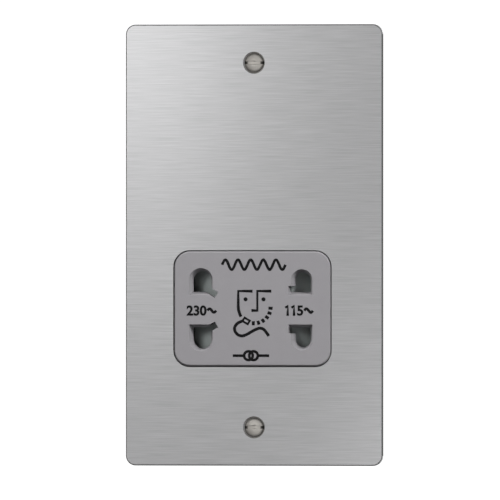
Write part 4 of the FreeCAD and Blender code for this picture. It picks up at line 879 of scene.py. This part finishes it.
@dataclass(frozen=True)
class PrintedSigns:
    """Pad printing on the socket face: supply signs, two numbers and the sign for a shaver.

    figure_share is the height of a figure in a font of size 1.
    """

    slot: str = "face_moulding"
    level: float = 3.15
    ink_rise: float = 0.03
    line: float = 1.0
    thin_line: float = 0.9
    curve_steps: int = 6
    stroke_weld: float = 0.002
    figure_weld: float = 1e-5
    figure_share: float = 0.7
    number_height: float = 3.42
    number_weight: float = 0.17
    left_number_x: float = -19.2
    five_x: float = 15.5
    one_places: tuple[float, ...] = (11.35, 13.45)
    one_flag: Pair = (0.8, 0.8)
    one_drop: float = 0.15
    one_line: float = 0.88
    number_z: float = -21.68
    waves: tuple[SignWave, ...] = (
        SignWave(0.0, -6.5, 10.6, 1.65, waves=5), SignWave(-14.1, -21.68, 1.45, 0.62),
        SignWave(18.35, -21.68, 1.45, 0.62),
    )
    ring_steps: int = 40
    ring_z: float = -36.6
    ring_radius: float = 1.45
    ring_shift: float = 0.85
    ring_line_end: float = 6.1
    middle_x: float = -0.95
    eye_radius: float = 0.68
    eye_steps: int = 32
    eye_bevel: float = 0.015
    eyes: tuple[Pair, ...] = ((-2.77, -17.94), (3.24, -17.95))
    dash_length: float = 1.35
    chin_middle: Pair = (-0.35, -20.45)
    dashes: tuple[Pair, ...] = (
        (5.6, -20.89), (5.26, -22.51), (4.41, -23.91), (3.07, -25.01), (1.54, -25.66), (-0.17, -25.84),
    )
    face_strokes: tuple[SignStroke, ...] = (
        SignStroke((
            (-0.43, -15.24), (-5.22, -15.24), (-5.22, -20.4), (-5.12, -21.5), (-4.82, -22.5),
            (-4.32, -23.7),
        )),
        SignStroke(((5.85, -15.24), (1.17, -15.24), (1.17, -21.66), (-0.8, -21.66))),
        SignStroke(((-3.1, -24.05), (-1.34, -25.03), (-2.05, -26.2), (-3.85, -25.1)), closed=True),
        SignStroke((
            (-4.0, -25.2), (-5.35, -25.66), (-6.35, -26.9), (-6.52, -27.76), (-6.22, -28.85),
            (-5.21, -29.84), (-3.91, -30.12), (-2.64, -29.75), (-0.77, -28.63), (1.07, -27.69),
            (2.21, -27.44), (3.31, -27.8), (4.04, -28.65), (4.98, -30.1),
        ), smooth=True),
    )

    def stroke(self, run: SignStroke, width: float) -> Mesh:
        """Makes a flat line of ink along a run of points.

        Args:
            run: The points across and up, in millimetres.
            width: The width of the line, in millimetres.

        Returns:
            The line on the face, in metres.
        """
        curve = bpy.data.curves.new("stroke", "CURVE")
        curve.dimensions = "3D"
        curve.bevel_depth = width / 2
        curve.bevel_resolution = 2
        curve.resolution_u = self.curve_steps
        curve.use_fill_caps = True
        spline = curve.splines.new("NURBS" if run.smooth else "POLY")
        spline.points.add(len(run.points) - 1)
        for point, (x, z) in zip(spline.points, run.points):
            point.co = (x, 0.0, z, 1.0)
        spline.use_cyclic_u = run.closed
        if run.smooth:
            spline.order_u = 3
            spline.use_endpoint_u = True
        made = mesh_of_curve(curve)
        bmesh.ops.remove_doubles(made, verts=made.verts, dist=self.stroke_weld)
        flat = 2 * self.ink_rise / width
        bmesh.ops.scale(made, verts=made.verts, vec=(MM, flat * MM, MM))
        bmesh.ops.translate(made, verts=made.verts, vec=(0, -self.level * MM, 0))
        bmesh.ops.recalc_face_normals(made, faces=made.faces)
        return made

    def eye(self, x: float, z: float) -> Mesh:
        """Makes a round dot of ink with a soft edge.

        Args:
            x: Its middle across, in millimetres.
            z: Its middle up, in millimetres.

        Returns:
            The dot on the face, in metres.
        """
        made = bmesh.new()
        radius = self.eye_radius * MM
        bmesh.ops.create_cone(
            made, cap_ends=True, segments=self.eye_steps, radius1=radius, radius2=radius,
            depth=2 * self.ink_rise * MM, matrix=Matrix.Rotation(QUARTER_TURN, 4, "X"),
        )
        rim = [edge for edge in made.edges if all(v.co.y < 0 for v in edge.verts)]
        bmesh.ops.bevel(
            made, geom=rim, offset=self.eye_bevel * MM, affect="EDGES", segments=2, profile=0.5,
            material=-1,
        )
        bmesh.ops.translate(made, verts=made.verts, vec=(x * MM, -self.level * MM, z * MM))
        return made

    def figures(self, text: str, x: float) -> Mesh:
        """Makes printed figures, plain and upright.

        Args:
            text: The figures.
            x: Their middle across, in millimetres.

        Returns:
            The figures on the face, in metres.
        """
        curve = bpy.data.curves.new("figures", "FONT")
        curve.body = text
        curve.size = 1.0
        curve.align_x = "CENTER"
        curve.offset = self.number_weight / self.number_height * self.figure_share
        curve.extrude = 1.0
        curve.resolution_u = self.curve_steps
        made = mesh_of_curve(curve)
        bmesh.ops.remove_doubles(made, verts=made.verts, dist=self.figure_weld)
        across = [v.co.x for v in made.verts]
        up = [v.co.y for v in made.verts]
        middle = (-(min(across) + max(across)) / 2, -(min(up) + max(up)) / 2, 0)
        size = self.number_height / (max(up) - min(up))
        bmesh.ops.translate(made, verts=made.verts, vec=middle)
        bmesh.ops.scale(made, verts=made.verts, vec=(size * MM, size * MM, self.ink_rise * MM))
        bmesh.ops.rotate(
            made, verts=made.verts, cent=(0, 0, 0), matrix=Matrix.Rotation(QUARTER_TURN, 3, "X"),
        )
        bmesh.ops.translate(made, verts=made.verts, vec=(x * MM, -self.level * MM, self.number_z * MM))
        return made

    def ring(self, x: float) -> SignStroke:
        """A ring with its middle at x, for the sign of an isolating transformer."""
        turns = [FULL_TURN * step / self.ring_steps for step in range(self.ring_steps)]
        radius, z = self.ring_radius, self.ring_z
        points = tuple((x + radius * math.cos(t), z + radius * math.sin(t)) for t in turns)
        return SignStroke(points, closed=True)

    def supply_signs(self) -> list[SignStroke]:
        """The wave above the shaver sign, the waves after the numbers, and the transformer sign below.

        Returns:
            Their strokes.
        """
        left, right = self.middle_x - self.ring_shift, self.middle_x + self.ring_shift
        signs = [*(wave.stroke() for wave in self.waves), self.ring(left), self.ring(right)]
        for side, ring in ((-1, left), (1, right)):
            near = ring + side * self.ring_radius
            far = self.middle_x + side * self.ring_line_end
            signs.append(SignStroke(((near, self.ring_z), (far, self.ring_z))))
        return signs

    def shaver_sign(self) -> list[SignStroke]:
        """The strokes of the sign for a shaver, with its dashes pointing away from the chin's middle.

        Returns:
            Its strokes.
        """
        strokes = list(self.face_strokes)
        for x, z in self.dashes:
            away = Vector((x - self.chin_middle[0], z - self.chin_middle[1])).normalized()
            half = away * self.dash_length / 2
            strokes.append(SignStroke(((x - half.x, z - half.y), (x + half.x, z + half.y))))
        return strokes

    def numbers(self) -> Mesh:
        """Makes both numbers. The ones are strokes with a flag, which the font's own don't have.

        Returns:
            The numbers on the face, in metres.
        """
        made = bmesh.new()
        merge_in(made, self.figures("230", self.left_number_x))
        merge_in(made, self.figures("5", self.five_x))
        half = self.number_height / 2
        top, foot = self.number_z + half, self.number_z - half
        flag, drop = self.one_flag
        for x in self.one_places:
            one = SignStroke(((x - flag, top - drop), (x, top - self.one_drop), (x, foot)))
            merge_in(made, self.stroke(one, self.one_line))
        return made

    def build(self) -> None:
        """Prints each sign on the face as its own piece."""
        supply, sign = bmesh.new(), bmesh.new()
        for run in self.supply_signs():
            merge_in(supply, self.stroke(run, self.thin_line))
        for run in self.shaver_sign():
            merge_in(sign, self.stroke(run, self.line))
        for x, z in self.eyes:
            merge_in(sign, self.eye(x, z))
        for mesh, name in (
            (supply, "printed_supply_signs"), (self.numbers(), "printed_numbers"),
            (sign, "printed_shaver_sign"),
        ):
            fix_on_socket(finished(mesh, name, INK.material(), smooth=None))


@dataclass(frozen=True)
class CentringSpring:
    """One of the two springs that bring the shutter back: round wire with closed end turns.
    """

    side: int
    name: str
    post_x: float = -0.85
    post_z: float = -21.4
    level: float = -4.95
    post_reach: float = 1.85
    window_reach: float = 13.22
    width: float = 2.9
    wire: float = 0.35
    closed_pitch: float = 1.1
    turns: int = 5
    steps: int = 20
    sides: int = 8
    weld: float = 0.0005
    smooth: float = 60.0
    ease: float = 0.125

    def mesh(self) -> Mesh:
        """Winds the spring along X, round an axis through the origin, where its first turn starts.

        Returns:
            The spring, in metres.
        """
        radius = (self.width - self.wire) / 2
        closed = self.wire * self.closed_pitch
        open_length = self.window_reach - self.post_reach - self.wire - 2 * closed
        made = bmesh.new()
        bmesh.ops.create_circle(
            made, segments=self.sides, radius=self.wire / 2 * MM,
            matrix=Matrix.Translation((0, 0, radius * MM)) @ Matrix.Rotation(QUARTER_TURN, 4, "X"),
        )
        last: list[Any] = [*made.verts, *made.edges]
        for turns, run in ((1, closed), (self.turns, open_length), (1, closed)):
            steps = self.steps * turns
            last = bmesh.ops.spin(
                made, geom=last, cent=(0, 0, 0), axis=(1, 0, 0), dvec=(run * MM / steps, 0, 0),
                angle=FULL_TURN * turns, steps=steps, use_merge=False,
            )["geom_last"]
        bmesh.ops.remove_doubles(made, verts=made.verts, dist=self.weld * MM)
        fill_ends(made)
        bmesh.ops.recalc_face_normals(made, faces=made.faces)
        return made

    def at(self, reach: float) -> Vector:
        """The place on the spring's axis at a reach from the post's middle, in metres."""
        return Vector((self.post_x + self.side * reach, -self.level, self.post_z)) * MM

    def build(self) -> None:
        """Puts the spring between the fixed post and the shutter's window."""
        made = self.mesh()
        if self.side < 0:
            bmesh.ops.rotate(
                made, verts=made.verts, cent=(0, 0, 0), matrix=Matrix.Rotation(math.pi, 3, "Z"),
            )
        bmesh.ops.translate(made, verts=made.verts, vec=self.at(self.post_reach + self.wire / 2))
        piece = finished(made, f"{self.name}_wound", SPRING_WIRE.material(), self.smooth)
        hand_over(piece, self.name)
        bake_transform(piece)


# Studio


@dataclass(frozen=True)
class SoftLight:
    """One soft rectangular white light, in metres and watts, that gloss mirrors or doesn't."""

    name: str
    place: Place
    size: Pair
    power: float
    aim: Place = (0.0, 0.0, 0.0)
    mirrored: bool = True

    def build(self) -> None:
        """Hangs the light and turns it to its aim."""
        data = bpy.data.lights.new(self.name, "AREA")
        data.shape = "RECTANGLE"
        data.size, data.size_y = self.size
        data.energy = self.power
        made = new_object(self.name, data)
        made.location = self.place
        made.visible_glossy = self.mirrored
        made.visible_camera = False
        direction = Vector(self.aim) - Vector(self.place)
        made.rotation_euler = direction.to_track_quat("-Z", "Y").to_euler()


@dataclass(frozen=True)
class Studio:
    """A white studio, with the camera far off and a little to the right of the socket.

    The room's shares are the strengths with which it shows in gloss from each side. The first four
    lights stand close, where the camera's mirrored line meets them. Each makes a soft patch round its
    aim, at or just past the plate's edge, and the plate shows the part that reaches it.
    """

    azimuth: float = 9.25
    distance: float = 6.0
    frame_width: float = 165.40
    aim_across: float = -1.29
    aim_up: float = -1.64
    plate_front: float = 3.0
    sensor: float = 36.0
    clip: Pair = (0.1, 100.0)
    floor_drop: float = 0.45
    floor_size: float = 30.0
    floor_parts: int = 4
    paper_roughness: float = 0.9
    paper_glow: float = 1.0
    ground_strength: float = 1.1
    room_side: float = 0.26
    room_front: float = 0.495
    room_up: float = 0.12
    room_wide: float = 0.25
    room_right: float = 0.20
    room_back: float = 0.10
    room_soft: float = 0.06
    lights: tuple[SoftLight, ...] = (
        SoftLight("key_light", (-0.095, -0.286, 0.088), (0.06, 0.09), 0.063, (-0.048, 0.0, 0.088)),
        SoftLight("top_light", (-0.022, -0.286, 0.104), (0.08, 0.03), 0.011, (0.025, 0.0, 0.104)),
        SoftLight("side_light", (-0.090, -0.286, -0.035), (0.03, 0.10), 0.006, (-0.043, 0.0, -0.035)),
        SoftLight("low_light", (0.030, -0.286, -0.118), (0.06, 0.06), 0.040, (0.077, 0.0, -0.118)),
        SoftLight("left_fill", (-0.45, -0.85, 0.45), (0.25, 0.25), 3.2, mirrored=False),
        SoftLight("edge_fill", (-0.75, -0.28, 0.70), (0.30, 0.30), 8.5, mirrored=False),
        SoftLight("right_fill", (0.80, -0.45, 0.45), (0.35, 0.35), 11.0, mirrored=False),
        SoftLight("back_light", (0.55, 0.90, 0.50), (0.60, 0.60), 9.0, (0.0, 0.02, 0.0)),
        SoftLight("back_fill", (-0.90, 0.60, -0.30), (0.60, 0.60), 5.0, (0.0, 0.02, 0.0), False),
    )

    def build(self) -> None:
        """Makes the floor, the room's light, the lamps and the camera."""
        self.make_floor()
        self.make_world()
        for light in self.lights:
            light.build()
        self.make_camera()
        bpy.context.scene.view_settings.view_transform = "Standard"

    def make_floor(self) -> None:
        """Makes the wide white floor, which is seen from above only."""
        mesh = bmesh.new()
        bmesh.ops.create_grid(
            mesh, x_segments=self.floor_parts, y_segments=self.floor_parts, size=self.floor_size / 2,
        )
        bmesh.ops.translate(mesh, verts=mesh.verts, vec=(0, 0, -self.floor_drop))
        floor = finished(mesh, "studio_floor", self.paper(), smooth=None)
        floor.visible_glossy = False
        floor.visible_diffuse = False

    def paper(self) -> bpy.types.Material:
        """Makes white paper that glows a little, so it stays white, and is clear from below.

        Returns:
            The floor's material.
        """
        paper = bpy.data.materials.new("white_floor_paper")
        paper.use_nodes = True
        tree = paper.node_tree
        shader = tree.nodes["Principled BSDF"]
        for key, value in (
            ("Base Color", linear(WHITE)), ("Roughness", self.paper_roughness),
            ("Emission Color", linear(WHITE)), ("Emission Strength", self.paper_glow),
        ):
            shader.inputs[key].default_value = value
        clear = add_node(tree, "BsdfTransparent")
        back = add_node(tree, "NewGeometry").outputs["Backfacing"]
        mixed = add_node(tree, "MixShader", links={0: back, 1: shader, 2: clear})
        tree.links.new(mixed.outputs[0], tree.nodes["Material Output"].inputs["Surface"])
        return paper

    def make_world(self) -> None:
        """Lights the room with a soft grey that changes from side to side, behind a white ground."""
        world = bpy.data.worlds.new("studio_room")
        bpy.context.scene.world = world
        world.use_nodes = True
        tree = world.node_tree
        tree.nodes.clear()
        path = add_node(tree, "LightPath")
        way = add_node(tree, "SeparateXYZ", links={0: add_node(tree, "TexCoord").outputs["Generated"]})
        wide, deep = (
            add_node(tree, "Math", {"operation": "MULTIPLY"}, {0: way.outputs[axis], 1: way.outputs[axis]})
            for axis in "XY"
        )
        total: Source | None = None
        for share, source in (
            (self.room_front, deep), (self.room_wide, wide), (self.room_up, way.outputs["Z"]),
            (self.room_back, way.outputs["Y"]), (self.room_right, way.outputs["X"]),
        ):
            links = {0: source} if total is None else {0: source, 2: total}
            settings = {"operation": "MULTIPLY_ADD", 1: share, 2: self.room_side}
            total = add_node(tree, "Math", settings, links)
        strength = add_node(tree, "Mix", {3: self.room_soft}, {0: path.outputs["Is Diffuse Ray"], 2: total})
        room = add_node(tree, "Background", {"Color": linear(WHITE)}, {"Strength": strength})
        ground = add_node(tree, "Background", {"Color": linear(WHITE), "Strength": self.ground_strength})
        mixed = add_node(tree, "MixShader", links={0: path.outputs["Is Camera Ray"], 1: room, 2: ground})
        add_node(tree, "OutputWorld", links={"Surface": mixed})

    def make_camera(self) -> None:
        """Sets the camera far off with a long lens, so that the plate keeps its straight sides."""
        turn = math.radians(self.azimuth)
        back = Vector((math.sin(turn), -math.cos(turn), 0.0))
        across = Vector((math.cos(turn), math.sin(turn), 0.0))
        aim = (Vector((0.0, -self.plate_front, self.aim_up)) + across * self.aim_across) * MM
        data = bpy.data.cameras.new("camera")
        data.sensor_width = self.sensor
        data.lens = self.sensor * self.distance / (self.frame_width * MM)
        data.clip_start, data.clip_end = self.clip
        made = new_object("camera", data)
        made.location = aim + back * self.distance
        made.rotation_euler = (-back).to_track_quat("-Z", "Y").to_euler()
        bpy.context.scene.camera = made


def dress_nodes() -> None:
    """Gives each node of the frame its finish."""
    for finish, names in FINISHED_NODES.items():
        for name in names:
            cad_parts[name].material_slots[0].material = finish.material()


def main() -> None:
    """Builds the dressed socket in order."""
    logging.basicConfig(level=logging.INFO, format="%(message)s")
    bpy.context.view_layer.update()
    Studio().build()
    dress_nodes()
    FixingScrews().build()
    Leads().build()
    PrintedSigns().build()
    CentringSpring(-1, "shutter_spring_left").build()
    CentringSpring(1, "shutter_spring_right").build()


if __name__ == "__main__":
    main()
